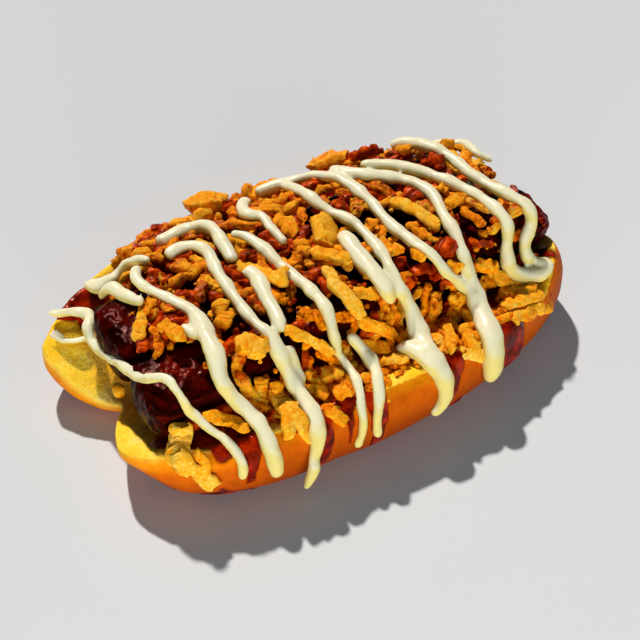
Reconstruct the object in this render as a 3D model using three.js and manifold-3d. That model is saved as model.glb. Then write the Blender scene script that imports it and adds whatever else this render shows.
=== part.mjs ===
// A loaded hot dog: a bun opened flat, a sausage split lengthwise into two halves lying side by side,
// and a heap of fried onion shreds with thick zigzags of mayonnaise over it. Millimetres, +Z up.
// +X runs along the bun, +Y to its back lobe. The origin is on the table under the middle of the hinge.
import * as THREE from "three";
import { mergeVertices } from "three/addons/utils/BufferGeometryUtils.js";
import Module from "manifold-3d";

const wasm = await Module();
wasm.setup();

// ---------------------------------------------------------------- driving dimensions

const TOUCH_GAP = 0.35; // kept between neighbouring pieces

const BUN = {
  rightTip: 87, // x of the far right end
  waist: 51, // half the width at the widest place
  widestRight: 90, // from the right tip to the widest place
  leftTipOut: 24, // |y| of a lobe's left tip
  leftNotch: 22, // length of the notch between the lobes, left
  rightNotch: 10, // and right
  overlap: 4, // how far each lobe reaches past the hinge line
  hingeTop: 10, // crumb height at the hinge
  hingeSoft: 4, // roundness of the trough
  endRise: 10, // how much the crumb climbs at the right end
  endFrom: 66, // x where that climb starts
  endRun: 20,
  innerRound: { left: 0.75, right: 0.6 }, // and of the notches
  web: { x0: -57, x1: 74, half: 16, high: 18 }, // the flat underside that joins the lobes
};

const LOBES = {
  back: {
    side: 1,
    leftTip: -81,
    slope: 0.5, // of the crumb
    centre: 16, // height of the middle of its section
    height: 21, // half the height of that section before it is cut
    widestLeft: 75, // from its left tip to the widest place
    leftRound: 0.8, // exponents of the outline's ends
    rightRound: 0.57,
    rightTipOut: 8, // |y| of its right tip
  },
  front: {
    side: -1,
    leftTip: -76.5,
    slope: 0.38,
    centre: 14,
    height: 17,
    widestLeft: 48,
    leftRound: 0.625,
    rightRound: 0.55,
    rightTipOut: 13,
  },
};

// A lobe's section: how square it is, and the half width from which it has its full height.
const SECTION = { square: 2.5, fullHalf: 27, plump: 0.8 };

const SAUSAGE = {
  top: 38, // height of the cut faces
  thick: 19,
  half: 26.5, // width of one half, tapering to rightHalf
  rightHalf: 22.5,
  taperFrom: 45,
  taperOver: 35,
  splitAt: 0, // y of the split at x = 0
  splitTurn: 0.114, // and its drift along x
  left: -66,
  frontRight: 85,
  backRight: 75,
  splitGap: 0.5, // between the two halves
  square: { side: 0.55, top: 0.45, belly: 0.75 }, // exponents of the section: smaller is squarer
};

const HEAP = {
  crest: 42.5, // top of the onions over the sausage
  cover: 4, // their depth over the crumb
  edge: { front: 4, back: 2.5 }, // how far they stay inside the bun's outline
  thinned: { front: 0.85, back: 0.35 }, // share of the depth that is lost towards that edge
  fallFront: 14, // run of the slope in front of the sausage
  fallBack: 26,
  overFront: 5, // how far inside the sausage's edge each slope starts
  overBack: 2,
  skirtPower: 8, // how late the thinning towards the edge sets in
  left: -65,
  leftRun: 15, // length over which the heap thins out at the left
  right: 74,
  rightRun: 16,
};

const MAYO = { height: 0.74, sink: 0.25, sides: 6, step: 8 };

// ---------------------------------------------------------------- small maths

const clamp01 = (t) => Math.min(1, Math.max(0, t));
const ease = (t) => clamp01(t) ** 2 * (3 - 2 * clamp01(t));
const mix = (a, b, t) => a + (b - a) * t;
const power = (v, p) => Math.sign(v) * Math.abs(v) ** p;
const rise = (d, run, p) => (1 - (1 - clamp01(d / run)) ** 2) ** p;

// A repeatable draw in 0..1.
function dice(seed) {
  let s = seed;
  return () => {
    s = (Math.imul(s, 1664525) + 1013904223) >>> 0;
    return s / 4294967296;
  };
}

// ---------------------------------------------------------------- the bun's form

// Outer edge of a lobe in plan, as |y| at x.
function outerEdge(x, lobe) {
  const left = mix(BUN.leftTipOut, BUN.waist, rise(x - lobe.leftTip, lobe.widestLeft, lobe.leftRound));
  const right = mix(lobe.rightTipOut, BUN.waist, rise(BUN.rightTip - x, BUN.widestRight, lobe.rightRound));
  return Math.min(left, right);
}

// Inner edge of a lobe in plan: past the hinge line, except where a notch opens at each end.
function innerEdge(x, lobe) {
  const round = BUN.innerRound;
  const left = (BUN.leftTipOut + BUN.overlap) * rise(x - lobe.leftTip, BUN.leftNotch, round.left);
  const right = (lobe.rightTipOut + BUN.overlap) * rise(BUN.rightTip - x, BUN.rightNotch, round.right);
  return Math.max(BUN.leftTipOut - left, lobe.rightTipOut - right);
}

// Middle, half width and height scale of a lobe's section at x.
function lobeSection(x, lobe) {
  const out = outerEdge(x, lobe);
  const half = Math.max((out - innerEdge(x, lobe)) / 2, 0.01);
  return { y: lobe.side * (out - half), half, scale: clamp01(half / SECTION.fullHalf) ** 0.5 };
}

// Height of the open crumb face.
function crumb(x, y) {
  const slope = y < 0 ? LOBES.front.slope : LOBES.back.slope;
  const trough = slope * (Math.hypot(y, BUN.hingeSoft) - BUN.hingeSoft);
  return BUN.hingeTop + trough + BUN.endRise * ease((x - BUN.endFrom) / BUN.endRun);
}

function insideLobe(x, y, z, lobe) {
  const { y: middle, half, scale } = lobeSection(x, lobe);
  const across = Math.abs((y - middle) / half) ** SECTION.square;
  const upright = Math.abs((z - lobe.centre) / (lobe.height * scale)) ** SECTION.square;
  return across + upright < 1 && z < crumb(x, y) && x > lobe.leftTip && x < BUN.rightTip;
}

// ---------------------------------------------------------------- the sausage and the heap

const splitLine = (x) => SAUSAGE.splitAt + SAUSAGE.splitTurn * x;
const halfWidth = (x) =>
  mix(SAUSAGE.half, SAUSAGE.rightHalf, ease((x - SAUSAGE.taperFrom) / SAUSAGE.taperOver));

function insideSausage(x, y, z) {
  const right = y < splitLine(x) ? SAUSAGE.frontRight : SAUSAGE.backRight;
  return Math.abs(y - splitLine(x)) < halfWidth(x) && z < SAUSAGE.top && x > SAUSAGE.left && x < right;
}

const sideOf = (y) => (y < 0 ? "front" : "back");
const heapEdge = (x, y) => Math.max(outerEdge(x, LOBES[sideOf(y)]) - HEAP.edge[sideOf(y)], 0.5);

// Top of the onion heap: level over the sausage, thin on the crumb, gone at the ends.
function heapTop(x, y) {
  const d = y - splitLine(x);
  const front = ease((-d - (halfWidth(x) - HEAP.overFront)) / HEAP.fallFront);
  const back = ease((d - (halfWidth(x) - HEAP.overBack)) / HEAP.fallBack);
  const low = crumb(x, y) + HEAP.cover;
  const full = mix(HEAP.crest, low, d < 0 ? front : back);
  const left = ease((x - HEAP.left) / HEAP.leftRun);
  const right = 1 - ease((x - HEAP.right) / HEAP.rightRun);
  const skirt = 1 - HEAP.thinned[sideOf(y)] * clamp01(Math.abs(y) / heapEdge(x, y)) ** HEAP.skirtPower;
  return mix(low - HEAP.cover, full, left * right * skirt);
}

function insideHeap(x, y, z) {
  return Math.abs(y) < heapEdge(x, y) && z < heapTop(x, y) && x > HEAP.left && x < BUN.rightTip - 1;
}

const insideFood = (x, y, z) =>
  insideLobe(x, y, z, LOBES.back) ||
  insideLobe(x, y, z, LOBES.front) ||
  insideSausage(x, y, z) ||
  insideHeap(x, y, z);

// ---------------------------------------------------------------- a chart of the outer surface

// A place on the food is (x, s): s millimetres of surface from the line y = middle on the top of the food,
// positive to the back.
const CHART = { from: -12, to: 192, step: 2, eye: 9, middle: -4.5, reach: 62, fine: 0.25 };
const charts = new Map();

function chartAt(x) {
  const key = Math.round(x);
  if (charts.has(key)) return charts.get(key);
  const radii = [];
  for (let a = CHART.from; a <= CHART.to; a += CHART.step) {
    const c = Math.cos(THREE.MathUtils.degToRad(a));
    const up = Math.sin(THREE.MathUtils.degToRad(a));
    let r = CHART.reach;
    while (r > 0.5 && !insideFood(key, c * r, CHART.eye + up * r)) r -= CHART.fine;
    radii.push({ c, up, r });
  }
  const points = radii.map(({ c, up, r }, i) => {
    const before = radii[Math.max(i - 1, 0)].r;
    const after = radii[Math.min(i + 1, radii.length - 1)].r;
    const soft = (before + 2 * r + after) / 4;
    return { y: c * soft, z: CHART.eye + up * soft, s: 0 };
  });
  for (let i = 1; i < points.length; i += 1) {
    const [p, q] = [points[i - 1], points[i]];
    q.s = p.s - Math.hypot(q.y - p.y, q.z - p.z);
  }
  const k = points.findIndex((p) => p.y < CHART.middle);
  const [p, q] = [points[k - 1], points[k]];
  const middle = mix(p.s, q.s, (p.y - CHART.middle) / (p.y - q.y));
  points.forEach((point) => (point.s -= middle));
  charts.set(key, points);
  return points;
}

// The point at (x, s) and the direction that faces away from the food there.
function onFood(x, s) {
  const low = Math.floor(x);
  const [a, b] = [low, low + 1].map((whole) => {
    const points = chartAt(whole);
    let i = points.findIndex((point) => point.s <= s);
    i = i < 0 ? points.length - 1 : Math.max(i, 1);
    const [p, q] = [points[i - 1], points[i]];
    const t = clamp01((p.s - s) / Math.max(p.s - q.s, 1e-6));
    return { y: mix(p.y, q.y, t), z: mix(p.z, q.z, t), out: [p.z - q.z, p.y - q.y] };
  });
  const t = x - low;
  const point = new THREE.Vector3(x, mix(a.y, b.y, t), mix(a.z, b.z, t));
  const out = new THREE.Vector3(0, -mix(a.out[0], b.out[0], t), mix(a.out[1], b.out[1], t));
  return { point, out: out.normalize() };
}

// ---------------------------------------------------------------- solids

// A three.js geometry with every vertex moved by a function, as a manifold solid.
function solid(geometry, move) {
  geometry.deleteAttribute("normal");
  geometry.deleteAttribute("uv");
  const place = geometry.getAttribute("position");
  const v = new THREE.Vector3();
  for (let i = 0; i < place.count; i += 1) {
    move(v.fromBufferAttribute(place, i));
    place.setXYZ(i, v.x, v.y, v.z);
  }
  const merged = mergeVertices(geometry, 1e-3);
  return new wasm.Manifold(
    new wasm.Mesh({
      numProp: 3,
      vertProperties: merged.attributes.position.array,
      triVerts: new Uint32Array(merged.index.array),
    }),
  );
}

const joined = (solids) => solids.reduce((a, b) => a.add(b));
const largest = (body) => body.decompose().sort((a, b) => b.volume() - a.volume())[0];

function named(name, body, material) {
  const { vertProperties, triVerts } = body.getMesh();
  const geometry = new THREE.BufferGeometry()
    .setAttribute("position", new THREE.BufferAttribute(vertProperties, 3))
    .setIndex(new THREE.BufferAttribute(triVerts, 1));
  geometry.computeVertexNormals();
  const mesh = new THREE.Mesh(geometry, material);
  mesh.name = name;
  return mesh;
}

// ---------------------------------------------------------------- bun

// One lobe: a long rounded loaf with a flat foot, its crumb face still covered. grow thickens it all round.
function loaf(lobe, grow) {
  const middle = (lobe.leftTip + BUN.rightTip) / 2;
  const reach = (BUN.rightTip - lobe.leftTip) / 2;
  const ball = new THREE.SphereGeometry(1, 22, 24).rotateZ(-Math.PI / 2);
  return solid(ball, (v) => {
    const around = Math.atan2(v.z, v.y);
    const { y, half, scale } = lobeSection(middle + reach * v.x, lobe);
    const up = (lobe.height * scale + grow) * power(Math.sin(around), SECTION.plump) * Math.min(1, half);
    v.x = middle + (reach + grow) * v.x;
    v.y = y + (half + grow) * power(Math.cos(around), SECTION.plump) * Math.min(1, half);
    v.z = Math.max(lobe.centre + up, -grow);
  });
}

// Everything above the open crumb face, as a block with a troughed underside. Its faces gather at the
// hinge and at the right end, where the crumb curves.
const COVER = { rightEnd: 100, halfLength: 50, halfWidth: 65, high: 90, gather: 2.2 };

function aboveCrumb(grow) {
  const block = new THREE.BoxGeometry(2, 2, 2, 7, 10, 1);
  return solid(block, (v) => {
    const x = COVER.rightEnd - COVER.halfLength * (1 - v.x) ** 2;
    const y = COVER.halfWidth * power(v.y, COVER.gather);
    v.set(x, y, v.z > 0 ? COVER.high : crumb(x, y) + grow);
  });
}

// The flat underside between the lobes, with round ends that stay inside their outline.
function underside(grow) {
  const { x0, x1, half, high } = BUN.web;
  return solid(new THREE.BoxGeometry(2, 2, 1, 10, 2, 1), (v) => {
    const round = (1 - 0.96 * v.x ** 4) ** 0.5;
    v.set(mix(x0, x1, (v.x + 1) / 2), v.y * half * round, (v.z + 0.5) * high - grow);
  });
}

function bunBody(grow) {
  return joined([loaf(LOBES.back, grow), loaf(LOBES.front, grow), underside(grow)]).subtract(aboveCrumb(grow));
}

// ---------------------------------------------------------------- sausage halves

// One half: a level cut face, steep sides and a round belly, both ends rounded off.
function sausageHalf(side, grow) {
  const right = side < 0 ? SAUSAGE.frontRight : SAUSAGE.backRight;
  const middle = (SAUSAGE.left + right) / 2;
  const reach = (right - SAUSAGE.left) / 2;
  const ball = new THREE.SphereGeometry(1, 16, 18).rotateZ(-Math.PI / 2);
  return solid(ball, (v) => {
    const around = Math.atan2(v.z, v.y);
    const end = (1 - Math.abs(v.x) ** 8) ** 0.5;
    const x = middle + reach * v.x;
    const wide = (halfWidth(x) - SAUSAGE.splitGap) / 2;
    const up = Math.sin(around) > 0 ? SAUSAGE.square.top : SAUSAGE.square.belly;
    const aside = (wide + grow) * power(Math.cos(around), SAUSAGE.square.side) * end;
    v.x = middle + (reach + grow) * v.x;
    v.y = splitLine(x) + (side * halfWidth(x)) / 2 + aside;
    v.z = SAUSAGE.top - SAUSAGE.thick / 2;
    v.z += (SAUSAGE.thick / 2 + grow) * power(Math.sin(around), up) * end;
  });
}

// ---------------------------------------------------------------- toppings

function heapCore() {
  const block = new THREE.BoxGeometry(2, 2, 1, 26, 12, 1);
  const [x0, x1] = [HEAP.left + 1, BUN.rightTip - 4];
  return solid(block, (v) => {
    const x = mix(x0, x1, (v.x + 1) / 2);
    const y = v.y * heapEdge(x, v.y);
    v.set(x, y, v.z > 0 ? heapTop(x, y) : crumb(x, y) - 3);
  });
}

// A rounded bar along points of the chart: places are [x, s], widths run along it.
function bar(places, widths, { height, sink, sides, step }) {
  const spots = places.map(([x, s]) => onFood(x, s));
  const curve = new THREE.CatmullRomCurve3(spots.map(({ point }) => point));
  const steps = Math.max(2, Math.round(curve.getLength() / step));
  const tube = new THREE.CylinderGeometry(1, 1, 1, sides, steps, false);
  return solid(tube, (v) => {
    const t = clamp01(v.y + 0.5);
    const along = curve.getTangentAt(t);
    const u = curve.getUtoTmapping(t) * (spots.length - 1);
    const i = Math.min(Math.floor(u), spots.length - 2);
    const out = spots[i].out.clone().lerp(spots[i + 1].out, u - i).normalize();
    const aside = new THREE.Vector3().crossVectors(along, out).normalize();
    const w = t * (widths.length - 1);
    const j = Math.min(Math.floor(w), widths.length - 2);
    const wide = mix(widths[j], widths[j + 1], w - j) * (Math.abs(v.y) > 0.499 ? 0.6 : 1);
    const raise = wide * height * (v.z / 2 + 0.5 - sink);
    v.copy(curve.getPointAt(t).addScaledVector(aside, (wide / 2) * v.x).addScaledVector(out, raise));
  });
}

// The drizzle: each strand is its widths and its places [x, s] from the back to the front.
const STRANDS = [
  { wide: [4, 4.5, 4, 3.5, 3.5], at: [[-76, 28], [-70, 22], [-66, 8], [-65, -8], [-59, -16], [-57, -23]] },
  { wide: [3.5, 2.8, 3, 3.5], at: [[-57, -23], [-57, -33], [-50, -44], [-47, -53], [-47, -61]] },
  { wide: [6, 6.5, 5.5, 4.5], at: [[-71, 30], [-64, 31], [-59, 30], [-57, 22], [-53, 12]] },
  { wide: [5, 4.5, 5, 6, 7], at: [[-54, 34], [-48, 31], [-48, 20], [-43, 6], [-41, -5]] },
  { wide: [7, 7, 6.5, 6], at: [[-41, -5], [-43, -12], [-43, -19], [-45, -27]] },
  { wide: [5.5, 6.5, 7, 6.5, 6], at: [[-45, -27], [-42, -34], [-38, -41], [-37, -53], [-37, -63]] },
  { wide: [3.5, 5, 5, 5, 4], at: [[-39, 25], [-30, 26], [-26, 21], [-27, 6], [-27, -11], [-24, -24]] },
  { wide: [4.5, 6.5, 6, 4.5, 3.5], at: [[-24, -24], [-23, -36], [-21, -49], [-24, -61], [-26, -69]] },
  { wide: [5.5, 5, 5, 4.5], at: [[-36, 35], [-27, 34], [-20, 33], [-19, 24], [-20, 12]] },
  { wide: [4.5, 6, 6, 4.5], at: [[-19, 10], [-17, 4], [-19, -9], [-20, -20], [-20, -33], [-21, -40]] },
  { wide: [4, 4.5, 5, 4.5, 3.5], at: [[-16, 27], [-10, 24], [-8, 13], [-5, -2], [-4, -16], [-6, -31]] },
  { wide: [3, 3, 3, 2.5], at: [[-6, -31], [-3, -41], [-6, -54], [-8, -67]] },
  { wide: [3.5, 5, 4, 3], at: [[-1, -26], [5, -38], [1, -49], [-1, -56], [-2, -66]] },
  { wide: [5, 4.5, 4.5, 4], at: [[-5, 38], [-7, 31], [-2, 27], [-4, 20], [-2, 12]] },
  { wide: [5.5, 6.5, 6.5, 4], at: [[15, 10], [15, -4], [16, -16], [18, -26]] },
  { wide: [4, 4, 4.5, 4.5, 5], at: [[13, 36], [15, 25], [21, 12], [22, -6], [21, -20], [26, -30]] },
  { wide: [5, 7.5, 6.5, 5.5], at: [[26, -30], [21, -41], [23, -53], [23, -61], [18, -66]] },
  { wide: [4.5, 4.5, 4, 4.5], at: [[6, 37], [18, 36], [27, 30], [30, 17], [33, -3], [36, -12], [45, -28]] },
  { wide: [4.5, 5, 4.5, 5], at: [[46, 33], [36, 32], [38, 26], [50, 14], [48, 0], [46, -13], [48, -28]] },
  { wide: [5, 7.5, 8, 8], at: [[48, -28], [46, -38], [43, -49], [42, -59]] },
  { wide: [4.5, 5, 5.5, 5, 6], at: [[46, 33], [56, 20], [64, 4], [65, -9], [63, -21], [71, -30], [78, -31]] },
  { wide: [6, 5.5, 5, 4.5, 6], at: [[52, 38], [61, 33], [66, 18], [75, -3], [75, -14], [71, -22], [78, -31]] },
  { wide: [4, 4, 3.5], at: [[61, 33], [69, 30], [75, 21]] },
];

// Fried onion shreds: three belts of the heap, each with its share of pieces.
const SHREDS = {
  height: 0.75,
  sink: 0.25,
  sides: 5,
  step: 9,
  belts: [
    { count: 22, x: [-50, 74], s: [-20, 26] },
    { count: 20, x: [-56, 80], s: [-47, -26] },
    { count: 10, x: [-58, 68], s: [28, 44] },
  ],
};

function shreds() {
  const draw = dice(11);
  const made = [];
  for (const { count, x, s } of SHREDS.belts) {
    for (let i = 0; i < count; i += 1) {
      const long = mix(8, 21, draw() ** 1.5);
      const turn = mix(-1.2, 1.2, draw());
      const bend = mix(-0.2, 0.2, draw()) * long;
      const cx = mix(x[0], x[1], (i + draw()) / count);
      const cs = mix(s[0], s[1], draw());
      const [dx, ds] = [(Math.cos(turn) * long) / 2, (Math.sin(turn) * long) / 2];
      const places = [
        [cx - dx, cs - ds],
        [cx - ds * (bend / long), cs + dx * (bend / long) * 2],
        [cx + dx, cs + ds],
      ];
      const wide = mix(3.2, 4.6, draw());
      made.push(bar(places, [wide * 0.7, wide, wide * 0.8], SHREDS));
    }
  }
  return made;
}

// ---------------------------------------------------------------- assembly

const finish = (color, roughness) => new THREE.MeshStandardMaterial({ color, roughness, metalness: 0 });
const crust = finish("#d98a1f", 0.4);
const meat = finish("#4a0f0a", 0.3);
const friedOnion = finish("#e0a23a", 0.55);

const fattened = {
  bun: bunBody(TOUCH_GAP),
  back: sausageHalf(1, TOUCH_GAP),
  front: sausageHalf(-1, TOUCH_GAP),
};
const bun = bunBody(0).subtract(fattened.back).subtract(fattened.front);
const drizzle = STRANDS.map(({ wide, at }) => bar(at, wide, MAYO));
const toppings = joined([heapCore(), ...drizzle, ...shreds()])
  .subtract(fattened.bun)
  .subtract(fattened.back)
  .subtract(fattened.front);

const hotDog = new THREE.Group();
hotDog.name = "hot_dog";
hotDog.add(
  named("bun", largest(bun), crust),
  named("sausage_half_back", sausageHalf(1, 0), meat),
  named("sausage_half_front", sausageHalf(-1, 0), meat),
  named("toppings", largest(toppings), friedOnion),
);

export default hotDog;
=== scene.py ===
"""A loaded hot dog: an opened bun, two sausage halves, fried onions, mayonnaise and barbecue sauce.

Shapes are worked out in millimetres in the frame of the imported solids: +X along the bun, +Y to its
back lobe, +Z up, the origin on the table under the hinge. Meshes are written in metres.
A place on the food is (x, s): s millimetres of surface from the middle line, positive to the back.
"""

from __future__ import annotations

import logging
import math
from collections.abc import Sequence
from dataclasses import dataclass

import bpy
import numpy as np
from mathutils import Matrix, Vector
from mathutils.kdtree import KDTree

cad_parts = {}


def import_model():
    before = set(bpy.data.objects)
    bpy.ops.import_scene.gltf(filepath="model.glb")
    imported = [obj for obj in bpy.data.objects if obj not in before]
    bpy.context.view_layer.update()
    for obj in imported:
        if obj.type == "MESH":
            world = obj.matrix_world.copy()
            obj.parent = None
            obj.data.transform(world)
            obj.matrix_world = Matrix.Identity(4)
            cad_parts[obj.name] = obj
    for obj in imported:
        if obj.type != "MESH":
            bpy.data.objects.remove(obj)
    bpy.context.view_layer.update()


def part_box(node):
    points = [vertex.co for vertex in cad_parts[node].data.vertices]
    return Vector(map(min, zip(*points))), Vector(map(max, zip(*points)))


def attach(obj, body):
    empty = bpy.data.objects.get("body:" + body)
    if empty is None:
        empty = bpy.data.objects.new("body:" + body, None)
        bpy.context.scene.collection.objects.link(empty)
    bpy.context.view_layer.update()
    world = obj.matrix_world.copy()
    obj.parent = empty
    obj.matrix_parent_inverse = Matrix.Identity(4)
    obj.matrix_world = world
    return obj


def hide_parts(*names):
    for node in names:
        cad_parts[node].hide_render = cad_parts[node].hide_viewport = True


MM = 0.001
IMAGE_PIXELS = 640
NOISE_GAIN = 3.0

log = logging.getLogger("hot_dog")

Array = np.ndarray
Place = tuple[float, float]
Node = bpy.types.Node
Socket = bpy.types.NodeSocket


# ---------------------------------------------------------------- small maths


def clamp01(t: Array | float) -> Array:
    """Returns t held between 0 and 1."""
    return np.clip(t, 0.0, 1.0)


def ease(t: Array | float) -> Array:
    """Returns a smooth step over 0..1."""
    t = clamp01(t)
    return t * t * (3.0 - 2.0 * t)


def mix(a: Array | float, b: Array | float, t: Array | float) -> Array:
    """Returns the blend of a and b at share t."""
    return a + (b - a) * t


def power(v: Array, p: float) -> Array:
    """Returns |v| to the power p with the sign of v."""
    return np.sign(v) * np.abs(v) ** p


def rise(distance: Array | float, run: float, p: float) -> Array:
    """Returns the share of full width that a round end has at a distance from its tip."""
    return (1.0 - (1.0 - clamp01(distance / run)) ** 2) ** p


def unit(v: Array) -> Array:
    """Returns the rows of v at length one."""
    return v / np.maximum(np.linalg.norm(v, axis=-1, keepdims=True), 1e-9)


def smooth_path(points: Array, step: float) -> tuple[Array, Array]:
    """Runs a Catmull-Rom curve through points.

    Args:
        points: Control points, one a row.
        step: Distance between the points of the result.

    Returns:
        The points of the curve, and the place of each among the control points.
    """
    ends = np.vstack([2 * points[0] - points[1], points, 2 * points[-1] - points[-2]])
    t = np.linspace(0, len(points) - 1, 40 * len(points))
    i = np.minimum(t.astype(int), len(points) - 2)
    u = (t - i)[:, None]
    a, b, c, d = ends[i], ends[i + 1], ends[i + 2], ends[i + 3]
    curve = 0.5 * (2 * b + (c - a) * u + (2 * a - 5 * b + 4 * c - d) * u**2 + (3 * b - a - 3 * c + d) * u**3)
    length = np.concatenate([[0], np.cumsum(np.linalg.norm(np.diff(curve, axis=0), axis=1))])
    even = np.linspace(0, length[-1], max(3, int(length[-1] / step) + 1))
    line = np.stack([np.interp(even, length, curve[:, k]) for k in range(curve.shape[1])], axis=1)
    return line, np.interp(even, length, t)


class Noise:
    """Smooth repeatable noise over space, from a table of seeded draws."""

    SIDE = 32

    def __init__(self, seed: int) -> None:
        """Fills the table from the seed."""
        self.table = np.random.default_rng(seed).random((self.SIDE,) * 3) * 2 - 1

    def at(self, points: Array, size: float, octaves: int = 1) -> Array:
        """Samples the noise.

        Args:
            points: Places in millimetres, one a row.
            size: Size of a bump in millimetres.
            octaves: How many finer layers are summed, each half as strong.

        Returns:
            One value a place, about -1 to 1.
        """
        total, share, reach = np.zeros(len(points)), 1.0, 0.0
        for k in range(octaves):
            total += share * self._layer(points * (2**k / size) + 7.3 * k)
            reach += share
            share /= 2
        return total / reach * 1.6

    def _layer(self, p: Array) -> Array:
        """Returns one layer of noise at lattice coordinates p."""
        cell = np.floor(p).astype(int)
        f = p - cell
        f = f * f * (3 - 2 * f)
        value = np.zeros(len(p))
        for corner in range(8):
            bits = np.array([corner & 1, corner >> 1 & 1, corner >> 2 & 1])
            at = (cell + bits) % self.SIDE
            weight = np.prod(np.where(bits, f, 1 - f), axis=1)
            value += weight * self.table[at[:, 0], at[:, 1], at[:, 2]]
        return value


# ---------------------------------------------------------------- the form of the food


@dataclass(frozen=True)
class Lobe:
    """One long half of the opened bun: its side, left tip, crumb slope, section and outline."""

    side: int
    left_tip: float
    slope: float
    centre: float
    height: float
    widest_left: float
    left_round: float
    right_tip_out: float
    right_round: float
    heap_edge: float
    heap_thinned: float


@dataclass(frozen=True)
class Form:
    """The form of the whole food in millimetres, as the solids have it."""

    right_tip: float
    waist: float
    sausage_left: float
    front_right: float
    back_right: float
    top: float
    back: Lobe
    front: Lobe
    widest_right: float = 90.0
    left_tip_out: float = 24.0
    front_shorter: float = 4.5
    left_notch: float = 22.0
    left_notch_round: float = 0.75
    right_notch: float = 10.0
    right_notch_round: float = 0.6
    overlap: float = 4.0
    hinge_top: float = 10.0
    hinge_soft: float = 4.0
    end_rise: float = 10.0
    end_from: float = 66.0
    end_run: float = 20.0
    square: float = 2.5
    full_half: float = 27.0
    half: float = 26.5
    right_half: float = 22.5
    taper_from: float = 45.0
    taper_over: float = 35.0
    split_at: float = 0.0
    split_turn: float = 0.114
    crest: float = 42.5
    cover: float = 4.0
    heap_left: float = -65.0
    left_run: float = 15.0
    heap_right: float = 74.0
    heap_inset: float = 1.0
    right_run: float = 16.0
    fall_front: float = 14.0
    fall_back: float = 26.0
    over_front: float = 5.0
    over_back: float = 2.0
    skirt_power: float = 8.0

    @classmethod
    def from_frame(cls) -> Form:
        """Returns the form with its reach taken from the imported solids."""
        bun_low, bun_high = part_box("bun")
        back_low, back_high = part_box("sausage_half_back")
        front_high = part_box("sausage_half_front")[1]
        left = bun_low.x / MM
        return cls(
            right_tip=bun_high.x / MM,
            waist=bun_high.y / MM,
            sausage_left=back_low.x / MM,
            front_right=front_high.x / MM,
            back_right=back_high.x / MM,
            top=back_high.z / MM,
            back=Lobe(
                side=1, left_tip=left, slope=0.5, centre=16, height=21,
                widest_left=75, left_round=0.8, right_tip_out=8, right_round=0.57,
                heap_edge=2.5, heap_thinned=0.35,
            ),
            front=Lobe(
                side=-1, left_tip=left + cls.front_shorter, slope=0.38, centre=14, height=17,
                widest_left=48, left_round=0.625, right_tip_out=13, right_round=0.55,
                heap_edge=4, heap_thinned=0.85,
            ),
        )

    def outer_edge(self, x: Array | float, lobe: Lobe) -> Array:
        """Returns |y| of a lobe's outline in plan at x."""
        from_left = rise(x - lobe.left_tip, lobe.widest_left, lobe.left_round)
        from_right = rise(self.right_tip - x, self.widest_right, lobe.right_round)
        left = mix(self.left_tip_out, self.waist, from_left)
        right = mix(lobe.right_tip_out, self.waist, from_right)
        return np.minimum(left, right)

    def inner_edge(self, x: Array | float, lobe: Lobe) -> Array:
        """Returns how near a lobe comes to the middle at x: past it, except at the notches."""
        from_left = rise(x - lobe.left_tip, self.left_notch, self.left_notch_round)
        from_right = rise(self.right_tip - x, self.right_notch, self.right_notch_round)
        left = (self.left_tip_out + self.overlap) * from_left
        right = (lobe.right_tip_out + self.overlap) * from_right
        return np.maximum(self.left_tip_out - left, lobe.right_tip_out - right)

    def lobe_section(self, x: Array | float, lobe: Lobe) -> tuple[Array, Array, Array]:
        """Returns the middle, half width and half height of a lobe's section at x."""
        out = self.outer_edge(x, lobe)
        half = np.maximum((out - self.inner_edge(x, lobe)) / 2, 0.01)
        return lobe.side * (out - half), half, lobe.height * clamp01(half / self.full_half) ** 0.5

    def crumb(self, x: Array | float, y: Array | float) -> Array:
        """Returns the height of the open crumb face."""
        slope = np.where(np.asarray(y) < 0, self.front.slope, self.back.slope)
        trough = slope * (np.hypot(y, self.hinge_soft) - self.hinge_soft)
        return self.hinge_top + trough + self.end_rise * ease((x - self.end_from) / self.end_run)

    def split(self, x: Array | float) -> Array:
        """Returns y of the line between the sausage halves."""
        return self.split_at + self.split_turn * x

    def half_width(self, x: Array | float) -> Array:
        """Returns the width of one sausage half."""
        return mix(self.half, self.right_half, ease((x - self.taper_from) / self.taper_over))

    def heap_edge(self, x: Array | float, y: Array | float) -> Array:
        """Returns |y| of the edge of the onions on the side of y."""
        front = self.outer_edge(x, self.front) - self.front.heap_edge
        back = self.outer_edge(x, self.back) - self.back.heap_edge
        return np.maximum(np.where(np.asarray(y) < 0, front, back), 0.5)

    def heap_top(self, x: Array | float, y: Array | float) -> Array:
        """Returns the top of the onion heap: level over the sausage, thin on the crumb."""
        d = y - self.split(x)
        front = ease((-d - (self.half_width(x) - self.over_front)) / self.fall_front)
        back = ease((d - (self.half_width(x) - self.over_back)) / self.fall_back)
        low = self.crumb(x, y) + self.cover
        full = mix(self.crest, low, np.where(d < 0, front, back))
        ends = ease((x - self.heap_left) / self.left_run)
        ends = ends * (1 - ease((x - self.heap_right) / self.right_run))
        thinned = np.where(y < 0, self.front.heap_thinned, self.back.heap_thinned)
        skirt = 1 - thinned * clamp01(np.abs(y) / self.heap_edge(x, y)) ** self.skirt_power
        return mix(low - self.cover, full, ends * skirt)

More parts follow.
